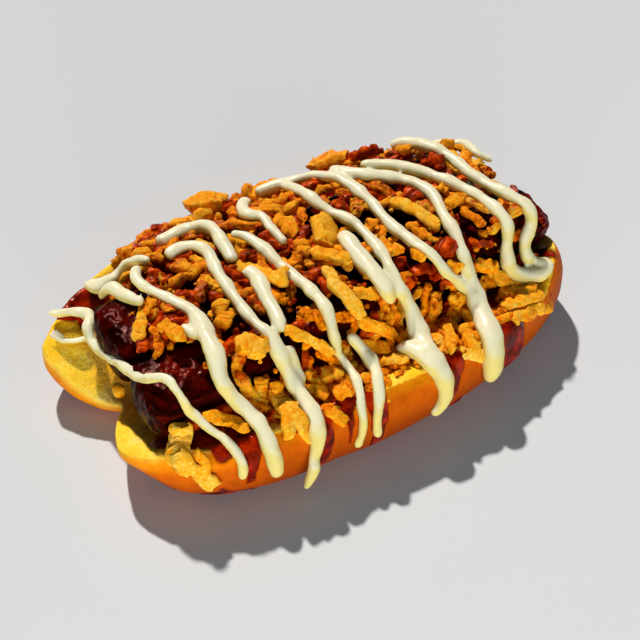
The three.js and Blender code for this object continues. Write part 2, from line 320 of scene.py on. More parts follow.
    def inside(self, x: float, y: Array, z: Array) -> Array:
        """Returns where a point lies in the bun, the sausage or the heap."""
        found = (np.abs(y) < self.heap_edge(x, y)) & (z < self.heap_top(x, y))
        found &= (x > self.heap_left) & (x < self.right_tip - self.heap_inset)
        right = np.where(y < self.split(x), self.front_right, self.back_right)
        meat = (np.abs(y - self.split(x)) < self.half_width(x)) & (z < self.top)
        found |= meat & (x > self.sausage_left) & (x < right)
        for lobe in (self.back, self.front):
            middle, half, high = self.lobe_section(x, lobe)
            aside, above = np.abs((y - middle) / half), np.abs((z - lobe.centre) / high)
            loaf = (aside**self.square + above**self.square < 1) & (z < self.crumb(x, y))
            found |= loaf & (x > lobe.left_tip) & (x < self.right_tip)
        return found


class Chart:
    """Turns a place (x, s) on the food into a point of its outer surface.

    Rays from the height EYE over the hinge find the surface, every SWEEP degrees, from REACH inwards.
    """

    EYE = 9.0
    MIDDLE = -4.5
    REACH = 62.0
    NEAREST = 0.5
    FINE = 0.25
    SWEEP = (-12, 192.1, 2.0)
    S_FROM = -78.0
    S_TO = 58.0
    S_STEP = 0.5
    X_MARGIN = 2
    LAST_CELL = 1.001

    def __init__(self, form: Form) -> None:
        """Works the surface out on a grid of places."""
        first = math.floor(form.back.left_tip) - self.X_MARGIN
        self.xs = np.arange(first, form.right_tip + self.X_MARGIN + 1, 1.0)
        self.ss = np.arange(self.S_FROM, self.S_TO, self.S_STEP)
        self.grid = np.zeros((len(self.xs), len(self.ss), 3))
        angles = np.radians(np.arange(*self.SWEEP))
        across, up = np.cos(angles), np.sin(angles)
        radii = np.arange(self.REACH, self.NEAREST, -self.FINE)
        for i, x in enumerate(self.xs):
            hit = form.inside(float(x), across[:, None] * radii, self.EYE + up[:, None] * radii)
            r = radii[np.where(hit.any(1), hit.argmax(1), len(radii) - 1)]
            r = (np.concatenate([r[:1], r[:-1]]) + 2 * r + np.concatenate([r[1:], r[-1:]])) / 4
            y, z = across * r, self.EYE + up * r
            s = -np.concatenate([[0], np.cumsum(np.hypot(np.diff(y), np.diff(z)))])
            s -= np.interp(-self.MIDDLE, -y, s)
            self.grid[i, :, 0] = x
            self.grid[i, :, 1] = np.interp(-self.ss, -s, y)
            self.grid[i, :, 2] = np.interp(-self.ss, -s, z)

    def at(self, x: Array, s: Array) -> Array:
        """Returns the surface points at places (x, s), one a row."""
        u = np.clip(np.asarray(x, float) - self.xs[0], 0, len(self.xs) - self.LAST_CELL)
        v = (np.asarray(s, float) - self.ss[0]) / self.S_STEP
        v = np.clip(v, 0, len(self.ss) - self.LAST_CELL)
        i, j = u.astype(int), v.astype(int)
        fu, fv = (u - i)[:, None], (v - j)[:, None]
        g = self.grid
        near = mix(g[i, j], g[i, j + 1], fv)
        return mix(near, mix(g[i + 1, j], g[i + 1, j + 1], fv), fu)

    def out(self, x: Array, s: Array, reach: float = 2.0) -> Array:
        """Returns the directions that face away from the food at places (x, s)."""
        x, s = np.asarray(x, float), np.asarray(s, float)
        along = self.at(x + reach, s) - self.at(x - reach, s)
        across = self.at(x, s + reach) - self.at(x, s - reach)
        return unit(np.cross(along, across))


# ---------------------------------------------------------------- meshes


def new_piece(
    name: str, points: Array, faces: Array | Sequence, edges: Sequence = ()
) -> bpy.types.Object:
    """Makes a piece from millimetre points.

    Args:
        name: Name of the piece.
        points: Vertices, one a row.
        faces: Vertex numbers of each face.
        edges: Vertex numbers of loose edges.

    Returns:
        The new object, linked to the scene.
    """
    mesh = bpy.data.meshes.new(name)
    sides = faces.tolist() if isinstance(faces, np.ndarray) else faces
    mesh.from_pydata((points * MM).tolist(), edges, sides)
    mesh.update()
    piece = bpy.data.objects.new(name, mesh)
    bpy.context.scene.collection.objects.link(piece)
    return piece


def vertices(piece: bpy.types.Object) -> Array:
    """Returns a piece's vertices in millimetres."""
    flat = np.zeros(len(piece.data.vertices) * 3, np.float32)
    piece.data.vertices.foreach_get("co", flat)
    return flat.reshape(-1, 3).astype(float) / MM


def normals(piece: bpy.types.Object) -> Array:
    """Returns a piece's vertex normals."""
    flat = np.zeros(len(piece.data.vertices) * 3, np.float32)
    piece.data.vertex_normals.foreach_get("vector", flat)
    return flat.reshape(-1, 3).astype(float)


def move_to(piece: bpy.types.Object, points: Array) -> None:
    """Puts a piece's vertices at millimetre points."""
    piece.data.vertices.foreach_set("co", (points * MM).astype(np.float32).ravel())
    piece.data.update()


def smoothed(piece: bpy.types.Object) -> None:
    """Gives a piece smooth faces."""
    piece.data.polygons.foreach_set("use_smooth", np.ones(len(piece.data.polygons), bool))


def settle(piece: bpy.types.Object) -> None:
    """Turns a piece's modifiers into its plain mesh, with smooth faces."""
    graph = bpy.context.evaluated_depsgraph_get()
    made = bpy.data.meshes.new_from_object(piece.evaluated_get(graph))
    old = piece.data
    piece.modifiers.clear()
    piece.data = made
    bpy.data.meshes.remove(old)
    smoothed(piece)
    made.update()


def remeshed(piece: bpy.types.Object, voxel: float, smoothing: int) -> None:
    """Joins a piece's overlapping shells into one skin.

    Args:
        piece: The piece, changed in place.
        voxel: Size of its new faces in millimetres.
        smoothing: Passes of smoothing after that.
    """
    skin = piece.modifiers.new("skin", "REMESH")
    skin.mode = "VOXEL"
    skin.voxel_size = voxel * MM
    soft = piece.modifiers.new("soft", "SMOOTH")
    soft.factor = 0.5
    soft.iterations = smoothing
    settle(piece)


def ring_faces(rows: int, sides: int, start: int = 0) -> list[tuple[int, ...]]:
    """Returns the faces of a closed tube of rows rings, with a fan of one face at each end."""
    i, j = np.meshgrid(np.arange(rows - 1), np.arange(sides), indexing="ij")
    k = (j + 1) % sides
    quads = np.stack([i * sides + j, i * sides + k, (i + 1) * sides + k, (i + 1) * sides + j], axis=-1)
    faces = [tuple(q) for q in (quads.reshape(-1, 4) + start).tolist()]
    faces.append(tuple(start + np.arange(sides)[::-1]))
    faces.append(tuple(start + (rows - 1) * sides + np.arange(sides)))
    return faces


def set_attribute(piece: bpy.types.Object, name: str, values: Array) -> None:
    """Writes a number or a vector for each vertex."""
    kind = "FLOAT_VECTOR" if values.ndim == 2 else "FLOAT"
    made = piece.data.attributes.new(name, kind, "POINT")
    made.data.foreach_set("vector" if values.ndim == 2 else "value", values.astype(np.float32).ravel())


# ---------------------------------------------------------------- node trees


class Tree:
    """A node tree with short ways to add nodes and join them."""

    def __init__(self, tree: bpy.types.NodeTree) -> None:
        """Wraps a tree."""
        self.tree = tree

    def add(self, kind: str, inputs: dict[str | int, object] | None = None, **settings: object) -> Node:
        """Adds a node.

        Args:
            kind: The node's type name.
            inputs: Values or sockets for its inputs, by name or number.
            settings: Properties of the node itself.

        Returns:
            The node.
        """
        node = self.tree.nodes.new(kind)
        for name, value in settings.items():
            setattr(node, name, value)
        for key, value in (inputs or {}).items():
            self.join(value, node.inputs[key])
        return node

    def join(self, value: object, socket: Socket) -> None:
        """Links a socket or a node's first output to an input, or sets a plain value on it."""
        if isinstance(value, bpy.types.Node):
            value = value.outputs[0]
        if isinstance(value, bpy.types.NodeSocket):
            self.tree.links.new(value, socket)
        else:
            socket.default_value = value

    def number_input(self, name: str, value: float) -> None:
        """Gives the tree a named number input with a usual value."""
        face = self.tree.interface
        made = face.new_socket(name, in_out="INPUT", socket_type="NodeSocketFloat")
        made.default_value = value

    def named(self, name: str, kind: str = "FLOAT_VECTOR") -> Socket:
        """Returns a named attribute of the geometry."""
        node = self.add("GeometryNodeInputNamedAttribute", {"Name": name}, data_type=kind)
        return node.outputs[0]

    def scaled(self, vector: object, share: object) -> Socket:
        """Returns a vector times a number."""
        return self.add("ShaderNodeVectorMath", {0: vector, 3: share}, operation="SCALE").outputs[0]

    def maths(self, operation: str, *values: object) -> Socket:
        """Returns the result of a Math node."""
        return self.add("ShaderNodeMath", dict(enumerate(values)), operation=operation).outputs[0]

    def vector_maths(self, operation: str, *values: object) -> Socket:
        """Returns the vector result of a Vector Math node."""
        return self.add("ShaderNodeVectorMath", dict(enumerate(values)), operation=operation).outputs[0]


class Shader(Tree):
    """A material's tree, with coordinates in metres on the piece itself."""

    def __init__(self, name: str) -> None:
        """Makes a material with a Principled shader."""
        self.material = bpy.data.materials.new(name)
        self.material.use_nodes = True
        super().__init__(self.material.node_tree)
        self.skin = self.tree.nodes["Principled BSDF"]
        self.place = self.add("ShaderNodeTexCoord").outputs["Object"]

    def attribute(self, name: str) -> Socket:
        """Returns a vertex attribute's number."""
        return self.add("ShaderNodeAttribute", attribute_name=name).outputs["Fac"]

    def noise(self, size: float, detail: float = 2.0, roughness: float = 0.55) -> Socket:
        """Returns noise with bumps of a size in millimetres."""
        values = {"Vector": self.place, "Scale": 1 / (size * MM), "Detail": detail}
        return self.add("ShaderNodeTexNoise", values | {"Roughness": roughness}).outputs[0]

    def cells(self, size: float) -> Socket:
        """Returns the distance field of cells of a size in millimetres."""
        values = {"Vector": self.place, "Scale": 1 / (size * MM)}
        return self.add("ShaderNodeTexVoronoi", values, feature="F1").outputs["Distance"]

    def span(self, value: object, low: float, high: float, start: float = 0.0, end: float = 1.0) -> Socket:
        """Returns value with low..high mapped smoothly to start..end."""
        values = {0: value, 1: low, 2: high, 3: start, 4: end}
        return self.add("ShaderNodeMapRange", values, interpolation_type="SMOOTHSTEP").outputs[0]

    def ramp(self, value: object, stops: Sequence[tuple[float, Colour]]) -> Socket:
        """Returns a colour from stops along 0..1."""
        node = self.add("ShaderNodeValToRGB", {0: value})
        elements = node.color_ramp.elements
        while len(elements) < len(stops):
            elements.new(0.5)
        for element, (at, colour) in zip(elements, stops):
            element.position = at
            element.color = colour.linear
        return node.outputs[0]

    def blend(self, share: object, a: object, b: object, mode: str = "MIX") -> Socket:
        """Returns colour a changed towards b by share."""
        a = a.linear if isinstance(a, Colour) else a
        b = b.linear if isinstance(b, Colour) else b
        return self.add("ShaderNodeMix", {0: share, 6: a, 7: b}, data_type="RGBA", blend_type=mode).outputs[2]

    def bump(self, height: object, depth: float, under: Socket | None = None) -> Socket:
        """Returns a normal with relief of a depth in millimetres."""
        values: dict[str | int, object] = {"Height": height, "Distance": depth * MM, "Strength": 1.0}
        if under is not None:
            values["Normal"] = under
        return self.add("ShaderNodeBump", values).outputs[0]

    def finish(self, **sockets: object) -> bpy.types.Material:
        """Sets the shader's inputs, named with underscores for spaces, and returns the material."""
        for name, value in sockets.items():
            self.join(value, self.skin.inputs[name.replace("_", " ")])
        return self.material


@dataclass(frozen=True)
class Colour:
    """A colour as it is seen, in 0..255."""

    red: int
    green: int
    blue: int

    @property
    def linear(self) -> tuple[float, float, float, float]:
        """The colour as light, for a shader."""
        shares = [c / 255 for c in (self.red, self.green, self.blue)]
        lights = [c / 12.92 if c <= 0.04045 else ((c + 0.055) / 1.055) ** 2.4 for c in shares]
        return (lights[0], lights[1], lights[2], 1.0)


# ---------------------------------------------------------------- finishes


SAUCE_DARK = Colour(66, 3, 0)
SAUCE_RED = Colour(150, 14, 0)
SAUCE_ORANGE = Colour(232, 84, 2)
WARM_SHEEN = Colour(255, 160, 110)


@dataclass(frozen=True)
class BunFinish:
    """Crust that is pale at the cut edge and browner down its side, partly baked that way and partly painted
    shade, and a soft yellow crumb.
    """

    pale: Colour = Colour(255, 210, 76)
    golden: Colour = Colour(234, 146, 10)
    orange: Colour = Colour(204, 94, 8)
    brown: Colour = Colour(138, 52, 4)
    crumb_deep: Colour = Colour(255, 194, 30)
    crumb_mid: Colour = Colour(255, 214, 70)
    crumb_pale: Colour = Colour(255, 234, 140)
    edge_at: float = 1.1
    edge_soft: float = 0.35
    edge_ragged: float = 1.6
    edge_size: float = 2.2
    bake_size: float = 16.0
    mottle_size: float = 5.0
    mottled: float = 0.4
    pore_size: float = 1.1
    cloud_size: float = 9.0
    bake_uneven: float = 7.0
    bake_reach: float = 9.0
    bake_depth: float = 34.0
    stained: float = 0.92
    crust_roughness: float = 0.45
    crumb_roughness: float = 0.85
    relief: float = 0.5

    def material(self) -> bpy.types.Material:
        """Returns the bun's material; it reads the attributes depth and bake, and the one that holds sauce
        and painted shade.
        """
        tree = Shader("bun")
        depth = tree.attribute("depth")
        bake = tree.attribute("bake")
        wander = tree.noise(self.edge_size, 3.0)
        ragged = tree.maths("MULTIPLY_ADD", wander, self.edge_ragged, -self.edge_ragged / 2)
        edge = tree.maths("ADD", depth, ragged)
        open_ = tree.span(edge, -self.edge_at - self.edge_soft, -self.edge_at + self.edge_soft)
        # The crust browns with distance down from the cut edge, with noise and with the bake attribute; the
        # browning down the side is partly painted shade.
        uneven = self.bake_uneven
        down = tree.maths("MULTIPLY_ADD", tree.noise(self.bake_size, 3.0), uneven, -uneven / 2)
        down = tree.maths("ADD", tree.maths("MULTIPLY", depth, -1.0), down)
        down = tree.maths("ADD", down, tree.maths("MULTIPLY", bake, self.bake_reach))
        crust = tree.ramp(
            tree.span(down, 0.0, self.bake_depth),
            [(0.0, self.pale), (0.1, self.golden), (0.32, self.orange), (0.9, self.brown)],
        )
        mottle = tree.span(tree.noise(self.mottle_size, 6.0, 0.7), 0.4, 0.7)
        crust = tree.blend(tree.maths("MULTIPLY", mottle, self.mottled), crust, self.brown)
        pores = tree.noise(self.pore_size, 3.0, 0.6)
        crumb = tree.ramp(
            tree.span(tree.maths("MULTIPLY_ADD", pores, 0.6, tree.noise(self.cloud_size)), 0.5, 1.3),
            [(0.0, self.crumb_deep), (0.5, self.crumb_mid), (1.0, self.crumb_pale)],
        )
        # This attribute holds the sauce spills and, next to the sausage, painted shade; both blend the crumb
        # towards the sauce colours.
        sauce_and_painted_shade = tree.attribute("sauce_and_painted_shade")
        stain = tree.span(tree.maths("ADD", sauce_and_painted_shade, tree.maths("MULTIPLY", pores, 0.5)), 0.5, 1.1)
        base = tree.blend(open_, crust, crumb)
        wet = tree.blend(stain, SAUCE_ORANGE, SAUCE_DARK)
        base = tree.blend(tree.maths("MULTIPLY", stain, self.stained), base, wet)
        shine = tree.span(open_, 0.0, 1.0, self.crust_roughness, self.crumb_roughness)
        relief = tree.maths("MULTIPLY", tree.noise(0.9, 3.0, 0.65), tree.span(open_, 0.0, 1.0, 0.25, 1.0))
        tree.skin.inputs["Subsurface Radius"].default_value = (1.0, 0.6, 0.2)
        return tree.finish(
            Base_Color=base,
            Roughness=shine,
            Normal=tree.bump(relief, self.relief),
            Subsurface_Weight=0.12,
            Subsurface_Scale=2.0 * MM,
            Specular_IOR_Level=0.03,
            Specular_Tint=WARM_SHEEN.linear,
        )


@dataclass(frozen=True)
class SausageFinish:
    """Grilled sausage under a wet glaze: dark face, streaked brown-purple side."""

    char: Colour = Colour(18, 1, 0)
    glaze: Colour = Colour(84, 5, 0)
    flesh: Colour = Colour(88, 14, 5)
    fibre: Colour = Colour(170, 60, 36)
    streak: Colour = Colour(42, 5, 1)
    sheen: Colour = Colour(255, 110, 80)
    fibre_stretch: float = 0.12
    dull: float = 0.22
    wet: float = 0.08
    relief: float = 0.12

    def material(self) -> bpy.types.Material:
        """Returns the sausage's material; it reads the attributes side and cut."""
        tree = Shader("sausage")
        side = tree.attribute("side")
        cut = tree.attribute("cut")
        cloud = tree.noise(9.0, 4.0, 0.6)
        face = tree.ramp(tree.span(cloud, 0.4, 0.74), [(0.0, self.char), (1.0, self.glaze)])
        along = (self.fibre_stretch, 1.0, 1.0)
        stretch = tree.add("ShaderNodeMapping", {"Vector": tree.place, "Scale": along})
        grain = tree.add("ShaderNodeTexNoise", {"Vector": stretch, "Scale": 1 / (1.6 * MM), "Detail": 3.0})
        flank = tree.ramp(
            tree.span(grain, 0.3, 0.75),
            [(0.0, self.char), (0.5, self.streak), (1.0, self.flesh)],
        )
        flank = tree.blend(tree.span(cloud, 0.4, 0.7), flank, self.char)
        base = tree.blend(side, face, flank)
        specks = tree.span(tree.cells(1.5), 0.1, 0.5)
        meat = tree.ramp(specks, [(0.0, self.fibre), (0.4, self.flesh), (1.0, self.glaze)])
        base = tree.blend(cut, base, meat)
        return tree.finish(
            Base_Color=base,
            Roughness=tree.span(tree.noise(1.4, 2.0), 0.5, 0.72, self.dull, self.wet),
            Normal=tree.bump(tree.noise(1.2, 3.0), self.relief),
            Specular_IOR_Level=0.04,
            Specular_Tint=self.sheen.linear,
        )


@dataclass(frozen=True)
class OnionFinish:
    """Crisp golden breading with pale spots that are partly painted highlight, painted shade in the creases
    between its crumbs, and red where the sauce has run.
    """

    dark: Colour = Colour(132, 46, 0)
    amber: Colour = Colour(250, 132, 2)
    golden: Colour = Colour(255, 180, 32)
    pale: Colour = Colour(255, 226, 110)
    grain_size: float = 1.1
    tint_size: float = 6.0
    toned: float = 0.46
    blotch_size: float = 2.6
    blotched: float = 1.1
    zone_size: float = 13.0
    zoned: float = 0.8
    stained: float = 0.96
    dry_roughness: float = 0.5
    wet_roughness: float = 0.14
    relief: float = 0.7

    def material(self) -> bpy.types.Material:
        """Returns the onions' material; it reads the attributes stain, tone and crease."""
        tree = Shader("fried_onion")
        stain, tone = tree.attribute("stain"), tree.attribute("tone")
        grain = tree.maths("MULTIPLY_ADD", tree.noise(self.grain_size, 4.0, 0.75), 0.75, -0.22)
        grain = tree.maths("MULTIPLY_ADD", tree.noise(self.tint_size, 2.0), 0.36, grain)
        level = tree.maths("MULTIPLY_ADD", tone, self.toned, grain)
        # Where the crease attribute is high, between the swollen crumbs, the level drops: painted shade in
        # the creases.
        level = tree.maths("ADD", level, tree.span(tree.attribute("crease"), 0.25, 0.75, 0.02, -0.08))
        # The pale end of the ramp stands partly for painted highlights on the breading; where noise and tone
        # run high the breading is also paler in itself.
        base = tree.ramp(
            level,
            [(0.32, self.dark), (0.47, self.amber), (0.67, self.golden), (0.94, self.pale)],
        )
        blotch = tree.noise(self.blotch_size, 3.0)
        blotch = tree.maths("MULTIPLY_ADD", blotch, self.blotched, -self.blotched / 2)
        zone = tree.noise(self.zone_size, 1.0)
        zone = tree.maths("MULTIPLY_ADD", zone, self.zoned, -self.zoned / 2)
        wet = tree.span(tree.maths("ADD", tree.maths("ADD", stain, zone), blotch), 0.35, 0.75)
        red = tree.ramp(tree.noise(3.0, 2.0), [(0.3, SAUCE_DARK), (0.5, SAUCE_RED), (0.72, SAUCE_ORANGE)])
        base = tree.blend(tree.maths("MULTIPLY", wet, self.stained), base, red)
        relief = tree.maths("MULTIPLY", tree.noise(0.9, 4.0, 0.72), tree.span(wet, 0.0, 1.0, 1.0, 0.2))
        tree.skin.inputs["Subsurface Radius"].default_value = (1.0, 0.5, 0.12)
        return tree.finish(
            Base_Color=base,
            Roughness=tree.span(wet, 0.0, 1.0, self.dry_roughness, self.wet_roughness),
            Normal=tree.bump(relief, self.relief),
            Subsurface_Weight=0.1,
            Subsurface_Scale=1.0 * MM,
            Specular_IOR_Level=0.16,
            Specular_Tint=WARM_SHEEN.linear,
        )


@dataclass(frozen=True)
class MayonnaiseFinish:
    """Smooth cream-white strands that let a little warm light through, with a yellower painted shade on faces
    that turn away from straight up.
    """

    cream: Colour = Colour(228, 222, 186)
    painted_shade: Colour = Colour(214, 196, 114)

    def material(self) -> bpy.types.Material:
        """Returns the mayonnaise's material."""
        tree = Shader("mayonnaise")
        # Faces that turn away from straight up get the yellower colour as painted shade.
        facing = tree.add("ShaderNodeNewGeometry").outputs["Normal"]
        up = tree.add("ShaderNodeSeparateXYZ", {0: facing}).outputs["Z"]
        uneven = tree.maths("MULTIPLY_ADD", tree.noise(6.0, 2.0), 0.5, -0.25)
        level = tree.maths("ADD", tree.span(up, 0.9, 0.1), uneven)
        base = tree.blend(tree.span(level, 0.1, 1.0), self.cream, self.painted_shade)
        tree.skin.inputs["Subsurface Radius"].default_value = (1.0, 0.9, 0.5)
        return tree.finish(
            Base_Color=base,
            Roughness=0.36,
            Normal=tree.bump(tree.noise(2.4, 2.0), 0.1),
            Subsurface_Weight=0.6,
            Subsurface_Scale=3.2 * MM,
            Specular_IOR_Level=0.3,
        )


@dataclass(frozen=True)
class SauceFinish:
    """Thin barbecue sauce: red-brown where it is thin, nearly black where it is thick, always wet."""

    thick: Colour = Colour(70, 5, 0)
    mid: Colour = Colour(122, 14, 0)
    thin: Colour = Colour(168, 36, 0)

    def material(self) -> bpy.types.Material:
        """Returns the sauce's material."""
        tree = Shader("barbecue_sauce")
        level = tree.span(tree.noise(5.0, 3.0), 0.32, 0.7)
        base = tree.ramp(level, [(0.0, self.thick), (0.5, self.mid), (1.0, self.thin)])
        return tree.finish(
            Base_Color=base,
            Roughness=0.18,
            Normal=tree.bump(tree.noise(1.6, 3.0), 0.3),
            Specular_IOR_Level=0.4,
            Specular_Tint=WARM_SHEEN.linear,
        )


# ---------------------------------------------------------------- shared builders


class Rods:
    """Geometry Nodes that sweep lines into uneven rods: onion strips and strands of mayonnaise."""

    def __init__(self) -> None:
        """Builds the tree with its named inputs."""
        self.group = bpy.data.node_groups.new("rods", "GeometryNodeTree")
        face = self.group.interface
        face.new_socket("Lines", in_out="INPUT", socket_type="NodeSocketGeometry")
        sizes = [("Step", 0.7 * MM), ("Flatness", 0.7), ("Lump size", 4 * MM), ("Lump depth", 1 * MM)]
        sizes += [("Grain size", 1.4 * MM), ("Grain depth", 0.4 * MM), ("Seed", 1.0)]
        sizes += [("Crust size", 2.2 * MM), ("Crust depth", 0.0), ("Ridge size", 1.0), ("Ridge depth", 0.0)]
        tree = Tree(self.group)
        for name, value in sizes:
            tree.number_input(name, value)
        face.new_socket("Sides", in_out="INPUT", socket_type="NodeSocketInt").default_value = 12
        face.new_socket("Finish", in_out="INPUT", socket_type="NodeSocketMaterial")
        face.new_socket("Rods", in_out="OUTPUT", socket_type="NodeSocketGeometry")
        given = tree.add("NodeGroupInput").outputs
        curve = tree.add("GeometryNodeMeshToCurve", {"Mesh": given["Lines"]})
        curve = tree.add("GeometryNodeCurveSplineType", {"Curve": curve}, spline_type="CATMULL_ROM")
        values = {"Curve": curve, "Length": given["Step"]}
        curve = tree.add("GeometryNodeResampleCurve", values, mode="LENGTH")
        values = {"Curve": curve, "Normal": tree.named("lean")}
        curve = tree.add("GeometryNodeSetCurveNormal", values, mode="FREE")
        ring = tree.add("GeometryNodeCurvePrimitiveCircle", {"Resolution": given["Sides"], "Radius": 1.0})
        ring = roughened(tree, ring, given["Ridge size"], given["Ridge depth"], given["Seed"])
        squash = tree.add("ShaderNodeCombineXYZ", {"X": given["Flatness"], "Y": 1.0, "Z": 1.0})
        ring = tree.add("GeometryNodeTransform", {"Geometry": ring, "Scale": squash})
        values = {"Curve": curve, "Profile Curve": ring, "Scale": tree.named("girth", "FLOAT")}
        rods = tree.add("GeometryNodeCurveToMesh", values | {"Fill Caps": True})
        for size, depth in (("Lump size", "Lump depth"), ("Grain size", "Grain depth")):
            rods = roughened(tree, rods, given[size], given[depth], given["Seed"])
        rods = crusted(tree, rods, given["Crust size"], given["Crust depth"])
        tree.add("NodeGroupOutput", {0: dressed(tree, rods, given["Finish"])})

    def make(
        self, name: str, rods: Sequence[Rod], finish: bpy.types.Material, **sizes: float
    ) -> bpy.types.Object:
        """Sweeps rods.

        Args:
            name: Name of the piece.
            rods: The lines with their girths.
            finish: The material of the piece.
            sizes: Inputs of the tree in its own units, named with underscores for spaces.

        Returns:
            The piece as a plain mesh.
        """
        counts = np.cumsum([0] + [len(r.line) for r in rods])
        edges = [(k, k + 1) for a, b in zip(counts[:-1], counts[1:]) for k in range(a, b - 1)]
        piece = new_piece(name, np.vstack([r.line for r in rods]), [], edges)
        set_attribute(piece, "girth", np.concatenate([r.girth for r in rods]) * MM)
        set_attribute(piece, "lean", np.vstack([r.lean for r in rods]))
        for look in ("stain", "tone"):
            values = [np.full(len(r.line), getattr(r, look)) for r in rods]
            set_attribute(piece, look, np.concatenate(values))
        run_tree(piece, self.group, Finish=finish, **sizes)
        return piece


class Lumps:
    """Geometry Nodes that put an uneven lump on each point of a mesh: onion bits and crumbs."""

    def __init__(self) -> None:
        """Builds the tree with its named inputs."""
        self.group = bpy.data.node_groups.new("lumps", "GeometryNodeTree")
        face = self.group.interface
        face.new_socket("Points", in_out="INPUT", socket_type="NodeSocketGeometry")
        sizes = [("Lump size", 3 * MM), ("Lump depth", 1 * MM)]
        sizes += [("Grain size", 1.2 * MM), ("Grain depth", 0.4 * MM)]
        sizes += [("Crust size", 2.2 * MM), ("Crust depth", 0.0), ("Seed", 1.0)]
        tree = Tree(self.group)
        for name, value in sizes:
            tree.number_input(name, value)
        face.new_socket("Fineness", in_out="INPUT", socket_type="NodeSocketInt").default_value = 3
        face.new_socket("Finish", in_out="INPUT", socket_type="NodeSocketMaterial")
        face.new_socket("Lumps", in_out="OUTPUT", socket_type="NodeSocketGeometry")
        given = tree.add("NodeGroupInput").outputs
        ball = tree.add("GeometryNodeMeshIcoSphere", {"Radius": 1.0, "Subdivisions": given["Fineness"]})
        turn = tree.add("FunctionNodeEulerToRotation", {0: tree.named("turn")})
        values = {"Points": given["Points"], "Instance": ball, "Rotation": turn}
        spread = tree.add("GeometryNodeInstanceOnPoints", values | {"Scale": tree.named("size")})
        lumps = tree.add("GeometryNodeRealizeInstances", {"Geometry": spread})
        for size_, depth in (("Lump size", "Lump depth"), ("Grain size", "Grain depth")):
            lumps = roughened(tree, lumps, given[size_], given[depth], given["Seed"])
        lumps = crusted(tree, lumps, given["Crust size"], given["Crust depth"])
        tree.add("NodeGroupOutput", {0: dressed(tree, lumps, given["Finish"])})

    def make(
        self, name: str, lumps: Sequence[Lump], finish: bpy.types.Material, **sizes: float
    ) -> bpy.types.Object:
        """Makes lumps.

        Args:
            name: Name of the piece.
            lumps: The lumps with their sizes and turns.
            finish: The material of the piece.
            sizes: Inputs of the tree in its own units, named with underscores for spaces.

        Returns:
            The piece as a plain mesh.
        """
        piece = new_piece(name, np.array([lump.at for lump in lumps]), [])
        set_attribute(piece, "size", np.array([lump.size for lump in lumps]) * MM)
        for look in ("turn", "stain", "tone"):
            set_attribute(piece, look, np.array([getattr(lump, look) for lump in lumps]))
        run_tree(piece, self.group, Finish=finish, **sizes)
        return piece


def roughened(tree: Tree, mesh: Node, size: Socket, depth: Socket, seed: Socket) -> Node:
    """Returns a node that moves a mesh's points by noise of a size and a depth."""
    scale = tree.maths("DIVIDE", 1.0, size)
    values = {"Scale": scale, "W": seed, "Detail": 1.0}
    noise = tree.add("ShaderNodeTexNoise", values, noise_dimensions="4D")
    tree.join(tree.add("GeometryNodeInputPosition"), noise.inputs["Vector"])
    shift = tree.vector_maths("SUBTRACT", noise.outputs["Color"], (0.5, 0.5, 0.5))
    shift = tree.scaled(tree.scaled(shift, depth), NOISE_GAIN)
    return tree.add("GeometryNodeSetPosition", {"Geometry": mesh, "Offset": shift})


def crusted(tree: Tree, mesh: Node, size: Socket, depth: Socket) -> Node:
    """Returns nodes that swell a mesh into rounded crumbs, and write the attribute crease."""
    cells = tree.add("ShaderNodeTexVoronoi", {"Scale": tree.maths("DIVIDE", 1.0, size)}, feature="F1")
    tree.join(tree.add("GeometryNodeInputPosition"), cells.inputs["Vector"])
    crease = cells.outputs["Distance"]
    values = {"Geometry": mesh, "Name": "crease", "Value": crease}
    kept = tree.add("GeometryNodeStoreNamedAttribute", values, data_type="FLOAT", domain="POINT")
    swell = tree.maths("MULTIPLY", tree.maths("SUBTRACT", 0.5, crease), depth)
    shift = tree.scaled(tree.add("GeometryNodeInputNormal"), swell)
    return tree.add("GeometryNodeSetPosition", {"Geometry": kept, "Offset": shift})


def dressed(tree: Tree, mesh: Node, finish: Socket) -> Node:
    """Returns the last nodes of a tree: smooth faces, real instances and the material."""
    smooth = tree.add("GeometryNodeSetShadeSmooth", {"Geometry": mesh})
    real = tree.add("GeometryNodeRealizeInstances", {"Geometry": smooth})
    return tree.add("GeometryNodeSetMaterial", {"Geometry": real, "Material": finish})


def run_tree(piece: bpy.types.Object, group: bpy.types.NodeTree, **values: object) -> None:
    """Runs a Geometry Nodes tree on a piece and keeps the plain mesh.

    Args:
        piece: The piece, changed in place.
        group: The tree.
        values: The tree's inputs by name, with underscores for spaces.
    """
    modifier = piece.modifiers.new(group.name, "NODES")
    modifier.node_group = group
    identifiers = {s.name: s.identifier for s in group.interface.items_tree if s.in_out == "INPUT"}
    for name, value in values.items():
        modifier[identifiers[name.replace("_", " ")]] = value
    settle(piece)


@dataclass(frozen=True)
class Rod:
    """A line of points in millimetres with its half widths, the way it faces, and its look."""

    line: Array
    girth: Array
    lean: Array
    stain: float = 0.0
    tone: float = 0.5


@dataclass(frozen=True)
class Lump:
    """A bit of onion: its middle, half sizes, turn and look."""

    at: Array
    size: Array
    turn: Array
    stain: float
    tone: float


def take_place(piece: bpy.types.Object, node: str, slot: str) -> None:
    """Lets a finished piece stand for a CAD node, and logs it."""
    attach(piece, "root")
    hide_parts(node)
    triangles = sum(len(p.vertices) - 2 for p in piece.data.polygons)
    log.info("%s stands for %s: %d triangles, finish %s", piece.name, node, triangles, slot)


# ---------------------------------------------------------------- the bun


